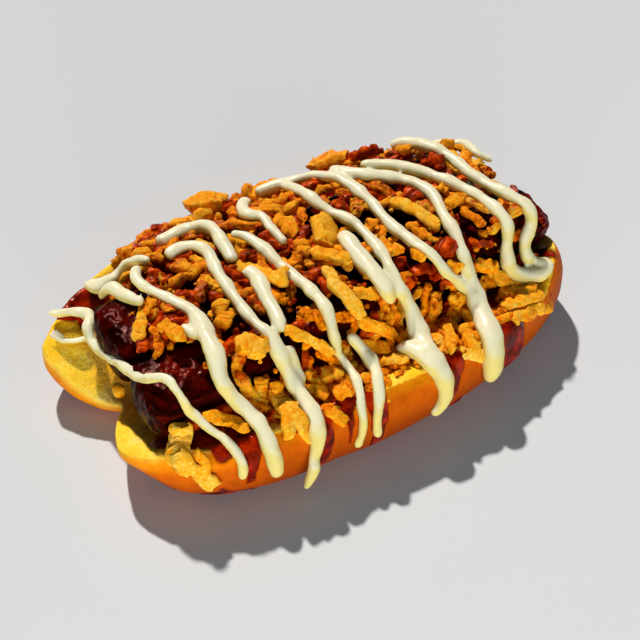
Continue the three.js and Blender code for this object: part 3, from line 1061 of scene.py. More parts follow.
@dataclass
class Bun:
    """The opened bun: two long lobes joined by a flat underside."""

    form: Form
    voxel: float = 0.75
    rows: int = 190
    sides: int = 220
    web: tuple[float, float, float, float] = (-60.0, 74.0, 16.0, 18.0)
    tip_lift: float = 0.5
    tip_run: float = 16.0
    web_rows: int = 80
    web_plan: float = 0.5
    web_side: float = 0.4
    web_top: float = 0.3
    open_from: float = 1.6
    open_over: float = 1.2
    ground_over: float = 3.0
    dent_size: float = 22.0
    dents: float = 0.5
    pore_size: float = 2.2
    pores: float = 0.22
    swell_size: float = 9.0
    swell: float = 0.2
    wrinkle_size: float = 3.0
    wrinkles: float = 0.08
    wrinkle_along: float = 0.35
    bake_least: float = 0.35
    bake_left: tuple[float, float, float] = (0.45, -62.0, 50.0)
    bake_right: tuple[float, float, float] = (0.4, 10.0, 70.0)
    back_bake: float = 0.6
    stain_past: float = 2.2
    # The next two set how far and how strongly the painted shade next to the sausage reaches.
    painted_shade_reach: float = 10.0
    stain: float = 0.5

    def lobe(self, lobe: Lobe) -> Array:
        """Returns the rings of one lobe, cut level with the crumb face and flat underneath."""
        angle = np.linspace(0.02, math.pi - 0.02, self.rows)
        reach = (self.form.right_tip - lobe.left_tip) / 2
        x = (self.form.right_tip + lobe.left_tip) / 2 - reach * np.cos(angle)
        middle, half, high = (v[:, None] for v in self.form.lobe_section(x, lobe))
        around = np.linspace(0, 2 * math.pi, self.sides, endpoint=False)[None]
        y = middle + half * power(np.cos(around), 2 / self.form.square)
        z = lobe.centre + high * power(np.sin(around), 2 / self.form.square)
        x = np.broadcast_to(x[:, None], y.shape)
        crumb = self.form.crumb(x, y)
        z = np.clip(z, 0.0, crumb)
        if lobe.side < 0:
            z = z + (crumb - z) * self.tip_lift * (1 - ease((x - lobe.left_tip) / self.tip_run))
        return np.stack([x, y, z], axis=-1).reshape(-1, 3)

    def underside(self) -> Array:
        """Returns the rings of the flat part between the lobes."""
        x0, x1, half, high = self.web
        angle = np.linspace(0.05, math.pi - 0.05, self.web_rows)
        x = mix(x0, x1, (1 - np.cos(angle)) / 2)[:, None]
        around = np.linspace(0, 2 * math.pi, self.web_rows, endpoint=False)[None]
        y = half * np.sin(angle)[:, None] ** self.web_plan * power(np.cos(around), self.web_side)
        x = np.broadcast_to(x, y.shape)
        z = high / 2 + high / 2 * power(np.sin(around), self.web_top)
        z = np.clip(np.broadcast_to(z, y.shape), 0.0, self.form.crumb(x, y))
        return np.stack([x, y, z], axis=-1).reshape(-1, 3)

    def shell(self) -> bpy.types.Object:
        """Returns the bun as one skin."""
        parts = [(self.lobe(self.form.back), self.rows, self.sides)]
        parts.append((self.lobe(self.form.front), self.rows, self.sides))
        parts.append((self.underside(), self.web_rows, self.web_rows))
        points: list[Array] = []
        faces: list[tuple[int, ...]] = []
        start = 0
        for rings, rows, sides in parts:
            points.append(rings)
            faces += ring_faces(rows, sides, start)
            start += len(rings)
        piece = new_piece("bun_loaf", np.vstack(points), faces)
        remeshed(piece, self.voxel, 8)
        return piece

    def relief(self, piece: bpy.types.Object, spills: Array) -> None:
        """Gives the skin its dents and pores, and writes what its finish reads.

        Args:
            piece: The bun's skin.
            spills: How much sauce lies at each vertex, 0 to 1.
        """
        points = vertices(piece)
        depth = points[:, 2] - self.form.crumb(points[:, 0], points[:, 1])
        open_ = ease((depth + self.open_from) / self.open_over)
        grounded = ease(points[:, 2] / self.ground_over)
        dents = Noise(3).at(points, self.dent_size, 2) * self.dents * (1 - open_)
        pores = Noise(5).at(points, self.pore_size, 2) * self.pores
        pores = pores + Noise(6).at(points, self.swell_size) * self.swell
        stretched = points * np.array([self.wrinkle_along, 1.0, 1.0])
        wrinkles = Noise(8).at(stretched, self.wrinkle_size) * self.wrinkles * (1 - open_)
        shift = (dents + wrinkles + pores * open_) * grounded
        move_to(piece, points + normals(piece) * shift[:, None])
        set_attribute(piece, "depth", depth)
        baked = self.bake_least
        for more, start, run in (self.bake_left, self.bake_right):
            baked = baked + more * ease((points[:, 0] - start) / run)
        set_attribute(piece, "bake", baked * np.where(points[:, 1] < 0, 1.0, self.back_bake))
        # Next to the sausage the crumb gets painted shade. It goes into the same attribute as the sauce
        # spills and is drawn in the sauce colours.
        beside = np.abs(points[:, 1] - self.form.split(points[:, 0]))
        beside = beside - self.form.half_width(points[:, 0])
        past = np.maximum(beside, self.form.sausage_left - 1 - points[:, 0])
        near = self.stain * (1 - ease((past + 1) / self.painted_shade_reach))
        set_attribute(piece, "sauce_and_painted_shade", np.maximum(spills, near))

    def build(self, sauce: Sauce) -> None:
        """Makes the bun and lays the sauce film on it."""
        piece = self.shell()
        spills = sauce.cover(vertices(piece))
        sauce.lay(piece, spills)
        self.relief(piece, sauce.cover(vertices(piece), self.stain_past))
        piece.data.materials.append(BunFinish().material())
        take_place(piece, "bun", "crust")


# ---------------------------------------------------------------- sauce


@dataclass(frozen=True)
class Pool:
    """Sauce lying on the crumb between two places seen from above, with its half width."""

    start: Place
    end: Place
    wide: float

    def away(self, points: Array) -> Array:
        """Returns how far inside the pool each point lies."""
        a, b = np.array(self.start, float), np.array(self.end, float)
        t = clamp01((points[:, :2] - a) @ (b - a) / ((b - a) @ (b - a)))
        return self.wide - np.linalg.norm(points[:, :2] - a - t[:, None] * (b - a), axis=1)


@dataclass(frozen=True)
class Run:
    """Sauce that has run down the front crust at x, to a height, with its half width and slant."""

    x: float
    foot: float
    wide: float
    slant: float = 0.1

    def away(self, points: Array) -> Array:
        """Returns how far inside the run each point lies."""
        x = self.x - self.slant * (30 - points[:, 2])
        narrow = self.wide * mix(0.65, 1.1, ease((points[:, 2] - self.foot) / 14))
        inside = narrow - np.abs(points[:, 0] - x)
        return np.minimum(inside, (points[:, 2] - self.foot) * 0.7) - 20 * (points[:, 1] > -30)


@dataclass
class Sauce:
    """Thin barbecue sauce on the bun: pools on the crumb and runs over the rim."""

    thick: float = 0.8
    soft: float = 1.8
    sunk: float = 0.2
    root: float = 0.9
    ragged: float = 0.9
    ragged_size: float = 4.5
    pools: tuple[Pool, ...] = (
        Pool((-68, 32), (-58, 33), 4.2),
        Pool((-64, 27), (-57, 27), 3.0),
        Pool((-63, -29), (-50, -41), 5.0),
        Pool((-52, -39), (-42, -44), 3.6),
        Pool((-30, -42), (-24, -45), 2.6),
        Pool((-12, -44), (-2, -46), 2.0),
        Pool((26, -36), (30, -44), 3.0),
        Pool((50, -30), (54, -39), 4.6),
        Pool((79, -14.5), (80.5, -19.5), 2.6),
    )
    runs: tuple[Run, ...] = (
        Run(-42.5, 10, 2.6),
        Run(-18.0, 3, 2.6),
        Run(-9.5, 12, 1.8),
        Run(0.5, 5, 3.0),
        Run(27.5, 7, 3.4),
        Run(52.0, 6, 4.0, 0.2),
    )

    def cover(self, points: Array, past: float = 0.0) -> Array:
        """Returns how much sauce lies at each point, 0 to 1.

        Args:
            points: Places in millimetres, one a row.
            past: How far the sauce reaches past its own edge, as a stain does.

        Returns:
            One share a point.
        """
        edge = Noise(21).at(points, self.ragged_size, 3) * self.ragged
        deepest = np.max([part.away(points) for part in (*self.pools, *self.runs)], axis=0) + past
        return ease((deepest + edge * (deepest > -4)) / (self.soft + past)) * (points[:, 2] > 3.0)

    def lay(self, bun: bpy.types.Object, cover: Array) -> None:
        """Makes the film as a thin closed skin over the bun.

        Args:
            bun: The bun's smooth skin.
            cover: How much sauce lies at each of its vertices.
        """
        sides = np.array([list(p.vertices) for p in bun.data.polygons if len(p.vertices) == 4])
        wet = sides[cover[sides].max(axis=1) > 0.02]
        used = np.unique(wet)
        number = np.full(len(cover), -1)
        number[used] = np.arange(len(used))
        points, out = vertices(bun)[used], normals(bun)[used]
        top = points + out * (self.thick * cover[used] ** 0.7 - self.sunk)[:, None]
        base = points - out * self.root
        faces = number[wet]
        way = np.stack([faces, np.roll(faces, -1, axis=1)], axis=-1).reshape(-1, 2)
        edges = np.sort(way, axis=1)
        _, first, count = np.unique(edges, axis=0, return_index=True, return_counts=True)
        rim = way[first[count == 1]]
        n = len(used)
        walls = np.stack([rim[:, 1], rim[:, 0], rim[:, 0] + n, rim[:, 1] + n], axis=1)
        skin = np.vstack([faces, faces[:, ::-1] + n, walls])
        piece = new_piece("barbecue_sauce", np.vstack([top, base]), skin)
        smoothed(piece)
        piece.data.materials.append(SauceFinish().material())
        take_place(piece, "toppings", "sauce")


# ---------------------------------------------------------------- the sausage


@dataclass
class SausageHalf:
    """One half of the split sausage, lying with its cut face up."""

    form: Form
    side: int
    node: str
    rows: int = 260
    sides: int = 130
    thick: float = 19.0
    gap: float = 0.5
    past_left: float = 0.0
    past_right: float = 0.0
    droop: float = 6.0
    droop_from: float = 60.0
    droop_run: float = 22.0
    thinned: float = 0.4
    thinned_from: float = 70.0
    thinned_run: float = 14.0
    end_square: int = 36
    edge_power: float = 0.5
    crown_power: float = 0.34
    belly_power: float = 0.75
    shrunk: float = 0.6
    lump_size: float = 8.0
    lump_side: float = 0.7
    lump_top: float = 0.35
    lumps: float = 0.8
    grain_size: float = 1.7
    grain_side: float = 0.12
    grain_cut: float = 0.35
    streak_along: float = 0.15
    streak_size: float = 2.5
    streaks: float = 0.3
    rough_from: float = 22.0
    rough_over: float = 8.0
    cuts: tuple[tuple[float, float, float, float], ...] = ()

    def skin(self) -> Array:
        """Returns the rings of the half."""
        form = self.form
        right = form.front_right if self.side < 0 else form.back_right
        left = form.sausage_left - self.past_left
        right += self.past_right
        reach = (right - left) / 2
        angle = np.linspace(0.03, math.pi - 0.03, self.rows)
        along = -np.cos(angle)[:, None]
        x = (right + left) / 2 + reach * along
        end = (1 - np.abs(along) ** self.end_square) ** 0.5
        around = np.linspace(0, 2 * math.pi, self.sides, endpoint=False)[None]
        wide = (form.half_width(x) - self.gap) / 2
        y = form.split(x) + self.side * form.half_width(x) / 2
        y = y + wide * power(np.cos(around), self.edge_power) * end
        high = np.sin(around)
        up = np.where(high > 0, power(high, self.crown_power), power(high, self.belly_power))
        thinner = self.thinned * ease((x - self.thinned_from) / self.thinned_run)
        half = self.thick / 2 * (1 - thinner)
        droop = self.droop * ease((x - self.droop_from) / self.droop_run)
        z = form.top - half + half * up * end - droop
        return np.stack([np.broadcast_to(x, y.shape), y, z], axis=-1).reshape(-1, 3)

    def build(self) -> None:
        """Makes the half with its grain, glaze and torn places."""
        piece = new_piece(self.node + "_meat", self.skin(), ring_faces(self.rows, self.sides))
        remeshed(piece, 0.65, 1)
        points, out = vertices(piece), normals(piece)
        top = ease((out[:, 2] - 0.35) / 0.4)
        cut = np.zeros(len(points))
        for x, y, rx, ry in self.cuts:
            away = np.hypot((points[:, 0] - x) / rx, (points[:, 1] - y) / ry)
            away = away + Noise(31).at(points, 3.0) * 0.25
            cut = np.maximum(cut, ease((1.15 - away) / 0.3))
        lumps = Noise(32).at(points, self.lump_size, 2) * mix(self.lump_side, self.lump_top, top)
        share = mix(self.grain_side, self.grain_cut, np.maximum(top * 0.5, cut))
        grain = Noise(33).at(points, self.grain_size, 2) * share
        stretched = points * np.array([self.streak_along, 1, 1])
        streaks = Noise(34).at(stretched, self.streak_size) * self.streaks * (1 - top)
        lower = ease((points[:, 2] - self.rough_from) / self.rough_over)
        shift = (lumps * self.lumps + grain + streaks) * lower - self.shrunk
        move_to(piece, points + out * shift[:, None])
        set_attribute(piece, "side", 1 - top)
        set_attribute(piece, "cut", cut * lower)
        smoothed(piece)
        piece.data.materials.append(SausageFinish().material())
        take_place(piece, self.node, "sausage")


# ---------------------------------------------------------------- onions


@dataclass(frozen=True)
class Strip:
    """An onion strip laid where it is listed: its two ends, width, sideways bend, height and stain."""

    start: Place
    end: Place
    wide: float
    bend: float = 0.0
    lift: float = 0.0
    stain: float = 0.0
    tone: float = 0.6


@dataclass(frozen=True)
class Patch:
    """A part of the heap with onions that lie as they fell."""

    x: tuple[float, float]
    s: tuple[float, float]
    strips: int
    bits: int
    crumbs: int
    stain: float
    heading: float = 0.0
    spread: float = 1.3
    lift: float = 0.0


HAND_LAID: tuple[Strip, ...] = (
    Strip((-53, 11), (-60.5, 0.5), 4.4, 0.3, 0.8, 0.0, 0.8),
    Strip((-59, 1.5), (-61, -4), 3.6, 0.3, 0.4, 1.0),
    Strip((-36, -19), (-29, -24), 7.6, 0.3, 1.0, 0.05, 0.75),
    Strip((-53, 3), (-58, -8), 3.2, 1.4, 0.5, 0.3, 0.3),
    Strip((-51, 0), (-48, -9), 4.6, -1.0, 0.8, 0.1, 0.6),
    Strip((-47, 12), (-44, 22), 3.8, 0.6, 0.0, 0.9),
    Strip((-47, -6), (-42, -13), 3.2, 0.8, 0.3, 0.2, 0.45),
    Strip((-38, 21), (-33, 15), 4.0, 0.8, 0.3, 0.4),
    Strip((-31, 21), (-29, 15), 3.2, 0.4, 0.3, 0.1),
    Strip((-43, 9), (-37, 5), 4.0, 0.6, 0.0, 0.9),
    Strip((-35, 10), (-30, 5), 3.4, 1.2, 0.5, 0.3),
    Strip((-32, 0), (-35, -4), 5.2, 0.3, 0.8),
    Strip((-33, -6), (-37, -10), 5.4, 0.2, 0.8),
    Strip((-24, 12), (-22, 3), 3.8, 0.5, 0.0, 0.95),
    Strip((-24, -3), (-22, -11), 3.4, 0.4, 0.2, 0.7),
    Strip((-20, 12.5), (-10, -3), 7.4, 0.3, 1.6, 0.05, 0.8),
    Strip((-17, 24), (-12, 19), 6.0, 0.5, 0.8, 0.1),
    Strip((-17, -3), (-15, -9), 4.2, 0.6, 0.3, 0.2, 0.4),
    Strip((-20, -20), (-7, -32), 3.8, 0.8, 1.2, 0.05, 0.75),
    Strip((-7, -31), (-4, -37), 3.4, 0.2, 0.8, 0.2),
    Strip((-7, 20), (-4, 12), 4.0, 0.3, 0.2, 0.9),
    Strip((2, 23), (1, 15), 5.5, 0.4, 0.6),
    Strip((1, 12), (0, 5), 5.0, 0.6, 0.4, 0.3),
    Strip((12, 18), (8, 6), 7.6, 0.4, 1.2, 0.15, 0.8),
    Strip((2, 5), (12, -5), 5.2, 0.4, 1.0, 0.05, 0.75),
    Strip((3, -3), (5.5, -24), 4.0, -1.6, 1.4, 0.0, 0.9),
    Strip((0, -4), (0, -12), 3.8, 0.4, 0.0, 0.9),
    Strip((4, -25), (16, -34), 4.0, 0.9, 0.8),
    Strip((2, -32), (12, -38), 4.0, 0.4, 0.4),
    Strip((16, -37), (23, -33), 3.0, 0.3, 1.0, 0.1),
    Strip((5, -41), (15, -44), 3.4, 0.5, 0.2, 0.0, 0.8),
    Strip((21, 22), (20, 15), 4.2, 0.3, 0.2, 0.9),
    Strip((26, 21), (24, 14), 3.8, 0.4, 0.3, 0.5),
    Strip((27, 10), (23, 7), 4.4, 0.4, 0.5, 0.1),
    Strip((25, 2), (28, -8), 4.2, -1.8, 0.9, 0.15),
    Strip((31, -8), (34, -13), 4.0, 0.3, 0.9, 0.05),
    Strip((36, 14), (44, -4), 4.6, 1.0, 1.0, 0.05, 0.8),
    Strip((36, 2), (38, -7), 3.6, 0.4, 0.6),
    Strip((42, 15), (44, 9), 5.4, 0.3, 0.5, 0.95),
    Strip((39, -10), (43, -15), 6.0, 0.2, 0.2, 1.0),
    Strip((39, -17), (44, -20), 4.2, 0.2, 0.6, 0.1),
    Strip((50, 14), (55, 9), 3.8, 0.4, 0.6, 0.2),
    Strip((50, 3), (57, 4), 3.8, 0.5, 1.0, 0.05),
    Strip((54, 0), (57, -9), 3.4, 0.8, 0.6, 0.1, 0.4),
    Strip((50, -20), (58, -24), 4.6, 0.3, 0.8, 0.4),
    Strip((56, -27), (69, -34), 4.6, 0.5, 0.8, 0.0, 0.7),
    Strip((56, -33), (68, -37), 4.0, 0.4, 0.6, 0.0, 0.7),
    Strip((54, -39), (70, -39), 4.4, -0.5, 0.4, 0.0, 0.75),
    Strip((54, -45), (68, -43), 3.8, 0.4, -0.4, 0.0, 0.8),
    Strip((33, -24), (30, -32), 5.0, 0.4, 0.8, 0.5),
    Strip((39, -27), (43, -41), 4.6, 0.6, 0.6, 0.0, 0.7),
    Strip((34, -36), (28, -48), 3.8, 0.6, 0.6, 0.1),
    Strip((38, -40), (36, -51), 3.8, -0.4, 0.4),
    Strip((33, -50), (40, -53), 4.0, 0.3, -0.2, 0.0, 0.9),
    Strip((-29, -34), (-28, -40), 4.4, 0.3, 0.6),
    Strip((-29, -36), (-32, -53), 4.0, 0.8, 0.8, 0.0, 0.75),
    Strip((-27, -40), (-24, -57), 4.8, -1.4, 0.8, 0.0, 0.8),
    Strip((-40, -36), (-34, -41), 3.2, 0.4, 0.2, 0.4, 0.4),
    Strip((-53, -35), (-42, -46), 4.0, 0.7, 0.8, 0.05),
    Strip((-16, -34), (-15, -46), 3.8, 0.4, 0.4),
    Strip((-13, -38), (-4, -41), 5.4, 0.4, 0.6, 0.0, 0.7),
    Strip((-17, -50), (-12, -56), 4.0, 0.3, 0.4, 0.1),
    Strip((-12, -48), (-5, -47), 4.0, 0.6, 0.2),
    # These three strips on the front crust have a paler tone as painted light, for the light they catch.
    Strip((-61, -35), (-62, -45), 7.0, 0.9, 0.6, 0.0, 0.9),
    Strip((-62.5, -43), (-61, -54), 7.0, -1.2, 0.4, 0.0, 0.85),
    Strip((-62, -52), (-55, -59), 6.0, 0.8, 0.2, 0.0, 0.85),
    Strip((-59, -46), (-57, -52), 4.0, 0.6, 0.3, 0.0, 0.75),
    Strip((-27, 42), (-14, 41), 7.0, 0.6, 2.6, 0.1, 0.7),
    Strip((-34, 41), (-27, 38), 5.0, 0.6, 1.6, 0.2, 0.6),
    Strip((-19, 52), (-8, 46), 7.5, 0.4, 1.5, 0.25, 0.65),
    Strip((-8, 44), (-6, 37), 6.0, 0.0, 1.0, 0.95),
    Strip((-1, 47), (11, 45), 8.0, 0.4, 1.6, 0.3, 0.6),
    Strip((24, 44), (36, 42.5), 7.5, 0.3, 1.4, 0.2, 0.6),
    Strip((37, 42), (46, 38), 6.0, 0.2, 1.0, 0.95),
    Strip((-52, 38), (-40, 33), 5.0, 0.6, 0.6, 0.1),
    Strip((-46, 44), (-32, 40), 5.0, 0.6, 0.4, 0.3),
    Strip((62, 35), (58, 20), 5.2, 0.5, 0.8, 0.95),
    Strip((66, 34), (63, 16), 5.2, 0.4, 0.8, 0.1, 0.7),
    Strip((54, 39), (52, 32), 5.0, 0.3, 0.6, 0.2),
    Strip((70, 32), (72, 26), 4.0, 0.4, 0.8, 0.1),
)

PATCHES: tuple[Patch, ...] = (
    Patch((-50, 72), (-6, 30), 76, 26, 90, 0.46),
    Patch((-44, 70), (-22, -8), 16, 12, 40, 0.54, 0.0, 1.0, -1.0),
    Patch((-38, 50), (-40, -26), 30, 16, 50, 0.28, 1.2, 0.8, -0.4),
    Patch((-34, -8), (-44, -36), 6, 8, 24, 0.15, 1.2, 0.8, -0.4),
    Patch((26, 48), (-46, -38), 5, 6, 20, 0.15, 1.2, 0.8, -0.4),
    Patch((-8, 26), (-47.5, -36), 3, 16, 100, 0.0, 1.2, 0.8, -0.9),
    Patch((48, 76), (-46, -24), 10, 8, 30, 0.15, 0.0, 0.4, -0.6),
    Patch((-43, -4), (32, 50), 28, 20, 40, 0.34, 0.0, 1.3, 0.8),
    Patch((-6, 64), (30, 44), 24, 16, 30, 0.35, 0.0, 1.3, -0.6),
    Patch((-56, -42), (-10, 12), 8, 16, 40, 0.5),
    Patch((-30, 30), (-56, -50), 0, 4, 8, 0.2, 0.0, 1.3, -0.6),
)


@dataclass
class Onions:
    """The fried onions: listed strips, the rest of the heap as it fell, and the sauce-soaked bed."""

    form: Form
    chart: Chart
    strands: Sequence[Rod]
    seed: int = 17
    bed_left: float = -60.0
    bed_front: float = 39.0
    stray: tuple[float, float, float] = (-67.0, -3.0, 19.0)
    stray_size: float = 2.3
    strip_lengths: tuple[float, float] = (9.0, 21.0)
    bit_lengths: tuple[float, float] = (2.6, 6.0)
    crumb_sizes: tuple[float, float] = (0.5, 1.1)
    fallen_wide: tuple[float, float] = (2.6, 4.4)
    fallen_bend: float = 0.22
    fallen_lift: tuple[float, float] = (-2.4, 0.3)
    fallen_tone: tuple[float, float] = (0.3, 0.85)
    crumb_lift: tuple[float, float] = (-1.8, 0.6)
    crumb_tone: tuple[float, float] = (0.2, 0.85)
    crumb_uneven: tuple[float, float] = (0.65, 1.35)
    stain_drawn: tuple[float, float] = (-0.5, 0.6)
    strip_lift: tuple[float, float] = (-0.6, 0.8)
    strip_uneven: tuple[float, float] = (0.86, 1.14)
    strip_wander: float = 0.5
    strip_lean: float = 0.35
    strip_arch: float = 1.2
    loose_from: float = 12.0
    bed_lump_size: float = 4.0
    bed_lumps: float = 1.2
    bed_grain_size: float = 1.9
    bed_grain: float = 0.7
    bed_base: float = 2.5
    bed_sunk: float = 0.8
    bed_thick: float = 2.4
    bed_under: float = 12.0
    strip_shares: tuple[float, ...] = (0.0, 0.07, 0.22, 0.36, 0.5, 0.64, 0.78, 0.93, 1.0)
    end_girths: tuple[float, ...] = (0.55, 0.9, 1.0, 1.0, 1.0, 1.0, 1.0, 0.85, 0.5)

    def __post_init__(self) -> None:
        """Starts the draws, and notes where the mayonnaise will lie."""
        self.draw = np.random.default_rng(self.seed)
        self.strand_points = np.vstack([strand.line for strand in self.strands])
        self.strand_halves = np.concatenate([strand.girth for strand in self.strands])
        self.strand_tree = KDTree(len(self.strand_points))
        for k, point in enumerate(self.strand_points):
            self.strand_tree.insert(point, k)
        self.strand_tree.balance()

    def sunk(self, points: Array, out: Array, reach: Array) -> Array:
        """Moves points down where a piece of onion there would hide the mayonnaise.

        Args:
            points: Middles of the pieces, or of parts of one.
            out: The directions that face away from the food there.
            reach: Half sizes of the pieces.

        Returns:
            The points, moved.
        """
        moved = points.copy()
        for i, point in enumerate(points):
            k = self.strand_tree.find(point)[1]
            away = point - self.strand_points[k]
            height = float(away @ out[i])
            aside = float(np.linalg.norm(away - height * out[i]))
            if aside < self.strand_halves[k] + 0.8 * reach[i]:
                moved[i] -= out[i] * max(0.0, height + reach[i] - 0.1 * self.strand_halves[k])
        return moved

    def rod(self, strip: Strip) -> Rod:
        """Returns the rod of a strip laid on the chart."""
        a, b = np.array(strip.start, float), np.array(strip.end, float)
        t = np.array(self.strip_shares)
        aside = np.array([-(b - a)[1], (b - a)[0]]) / max(np.linalg.norm(b - a), 1e-6)
        loose = min(1.0, float(np.linalg.norm(b - a)) / self.loose_from)
        wander = self.draw.uniform(-self.strip_wander, self.strip_wander, len(t))
        bend = strip.bend * 4 * t * (1 - t) + wander * loose
        places = a + t[:, None] * (b - a) + bend[:, None] * aside
        out = self.chart.out(places[:, 0], places[:, 1])
        lift = strip.lift + self.draw.uniform(*self.strip_lift, len(t)) * loose
        lift = lift + self.strip_arch * t * (1 - t)
        girth = strip.wide / 2 * np.array(self.end_girths)
        girth = girth * self.draw.uniform(*self.strip_uneven, len(t))
        line = self.chart.at(places[:, 0], places[:, 1]) + out * lift[:, None]
        line = self.sunk(line, out, girth * 0.7)
        lean = unit(out + self.draw.uniform(-self.strip_lean, self.strip_lean, 3))
        return Rod(line, girth, lean, strip.stain, strip.tone)

    def spot(self, patch: Patch) -> Array:
        """Returns a drawn place in a patch."""
        return np.array([self.draw.uniform(*patch.x), self.draw.uniform(*patch.s)])

    def fallen(self, patch: Patch, count: int, lengths: tuple[float, float]) -> list[Rod]:
        """Returns drawn strips of a patch, between two lengths in millimetres."""
        made = []
        for _ in range(count):
            middle = self.spot(patch)
            long = mix(*lengths, self.draw.random() ** 1.4)
            turn = patch.heading + self.draw.uniform(-patch.spread, patch.spread)
            reach = np.array([math.cos(turn), math.sin(turn)]) * long / 2
            made.append(
                Strip(
                    start=tuple(middle - reach),
                    end=tuple(middle + reach),
                    wide=self.draw.uniform(*self.fallen_wide),
                    bend=self.draw.uniform(-self.fallen_bend, self.fallen_bend) * long,
                    lift=patch.lift + self.draw.uniform(*self.fallen_lift),
                    stain=clamp01(self.draw.uniform(*self.stain_drawn) + patch.stain),
                    tone=self.draw.uniform(*self.fallen_tone),
                )
            )
        return [self.rod(strip) for strip in made]

    def scattered(self, patch: Patch) -> list[Lump]:
        """Returns the crumbs of a patch."""
        made = []
        for _ in range(patch.crumbs):
            x, s = self.spot(patch)
            lift = patch.lift + self.draw.uniform(*self.crumb_lift)
            out = self.chart.out([x], [s])
            size = self.draw.uniform(*self.crumb_sizes)
            size = size * self.draw.uniform(*self.crumb_uneven, 3)
            at = self.sunk(self.chart.at([x], [s]) + out * lift, out, [size.mean()])[0]
            turn = self.draw.uniform(-math.pi, math.pi, 3)
            stain = clamp01(self.draw.uniform(*self.stain_drawn) + patch.stain)
            made.append(Lump(at, size, turn, stain, self.draw.uniform(*self.crumb_tone)))
        return made

    def bed(self) -> bpy.types.Object:
        """Returns the sauce-soaked bed under the onions, between the crumb and the sausage."""
        form, rows, sides = self.form, 300, 150
        x = np.linspace(self.bed_left, form.right_tip - 5, rows)[:, None]
        y = np.linspace(-1, 1, sides)[None]
        y = y * np.minimum(form.heap_edge(x, y) - 1.5, np.where(y < 0, self.bed_front, 60.0))
        x = np.broadcast_to(x, y.shape)
        crumb = form.crumb(x, y)
        flat = np.stack([x.ravel(), y.ravel(), np.zeros(x.size)], axis=1)
        lumps = Noise(41).at(flat, self.bed_lump_size, 2) * self.bed_lumps
        lumps = lumps + Noise(42).at(flat, self.bed_grain_size, 2) * self.bed_grain
        lumps = lumps.reshape(x.shape)
        under = ease((form.half_width(x) + 1 - np.abs(y - form.split(x))) / 3)
        ends = ease((x - self.bed_left) / 8) * ease((form.right_tip - 8 - x) / 8)
        edge = ease((np.abs(y[:, :1] * (y < 0) + y[:, -1:] * (y >= 0)) - np.abs(y)) / 4)
        high = mix(self.bed_thick + lumps, self.bed_under, under) * ends * edge
        top = np.stack([x, y, crumb - self.bed_sunk + high], axis=-1).reshape(-1, 3)
        base = np.stack([x, y, crumb - self.bed_base], axis=-1).reshape(-1, 3)
        i, j = np.meshgrid(np.arange(rows - 1), np.arange(sides - 1), indexing="ij")
        k = (i * sides + j).ravel()
        quads = np.stack([k, k + sides, k + sides + 1, k + 1], axis=1)
        n = rows * sides
        rim = np.concatenate(
            [np.arange(sides), np.arange(1, rows) * sides + sides - 1,
             (rows - 1) * sides + np.arange(sides - 2, -1, -1), np.arange(rows - 2, 0, -1) * sides]
        )
        after = np.roll(rim, -1)
        walls = np.stack([rim, after, after + n, rim + n], axis=1)
        skin = np.vstack([quads, quads[:, ::-1] + n, walls])
        piece = new_piece("sauced_bed", np.vstack([top, base]), skin)
        smoothed(piece)
        set_attribute(piece, "stain", 0.72 + 0.3 * Noise(43).at(vertices(piece), 6.0, 2))
        set_attribute(piece, "tone", np.full(2 * n, 0.2))
        # Low places of the bed get a high crease value, which the finish turns into painted shade.
        set_attribute(piece, "crease", clamp01(0.45 - 0.5 * np.concatenate([lumps.ravel()] * 2)))
        return piece

    def build(self, rods: Rods, lumps: Lumps) -> None:
        """Makes every onion piece."""
        finish = OnionFinish().material()
        bed = self.bed()
        bed.data.materials.append(finish)
        hand_laid = [self.rod(strip) for strip in HAND_LAID]
        fallen = [
            rod for patch in PATCHES for rod in self.fallen(patch, patch.strips, self.strip_lengths)
        ]
        bits = [rod for patch in PATCHES for rod in self.fallen(patch, patch.bits, self.bit_lengths)]
        crumbs = [crumb for patch in PATCHES for crumb in self.scattered(patch)]
        stray = Lump(np.array(self.stray), np.full(3, self.stray_size), np.zeros(3), 0.0, 0.7)
        crust = {"Lump_size": 6.0 * MM, "Lump_depth": 0.7 * MM}
        crust |= {"Grain_size": 1.4 * MM, "Grain_depth": 0.22 * MM}
        crust |= {"Crust_size": 1.3 * MM, "Crust_depth": 0.16 * MM}
        crust |= {"Ridge_size": 0.8, "Ridge_depth": 0.4}
        fine = {"Step": 0.42 * MM, "Sides": 20, "Flatness": 0.66}
        coarse = {"Step": 0.5 * MM, "Sides": 14}
        heap = coarse | {"Flatness": 0.7, "Seed": 4.0}
        small = coarse | {"Flatness": 0.75, "Seed": 7.0}
        made = [bed]
        made.append(rods.make("onion_strips", hand_laid, finish, **fine, **crust))
        made.append(rods.make("onion_heap", fallen, finish, **heap, **crust))
        made.append(rods.make("onion_bits", bits, finish, **small, **crust))
        grain = {"Fineness": 2, "Lump_depth": 0.5 * MM}
        made.append(lumps.make("onion_crumbs", [*crumbs, stray], finish, **grain))
        for piece in made:
            take_place(piece, "toppings", "fried_onion")


# ---------------------------------------------------------------- mayonnaise


@dataclass(frozen=True)
class Strand:
    """A strand of mayonnaise: widths, places on the food, and points in space before them."""

    wide: tuple[float, ...]
    at: tuple[Place, ...]
    before: tuple[tuple[float, float, float], ...] = ()


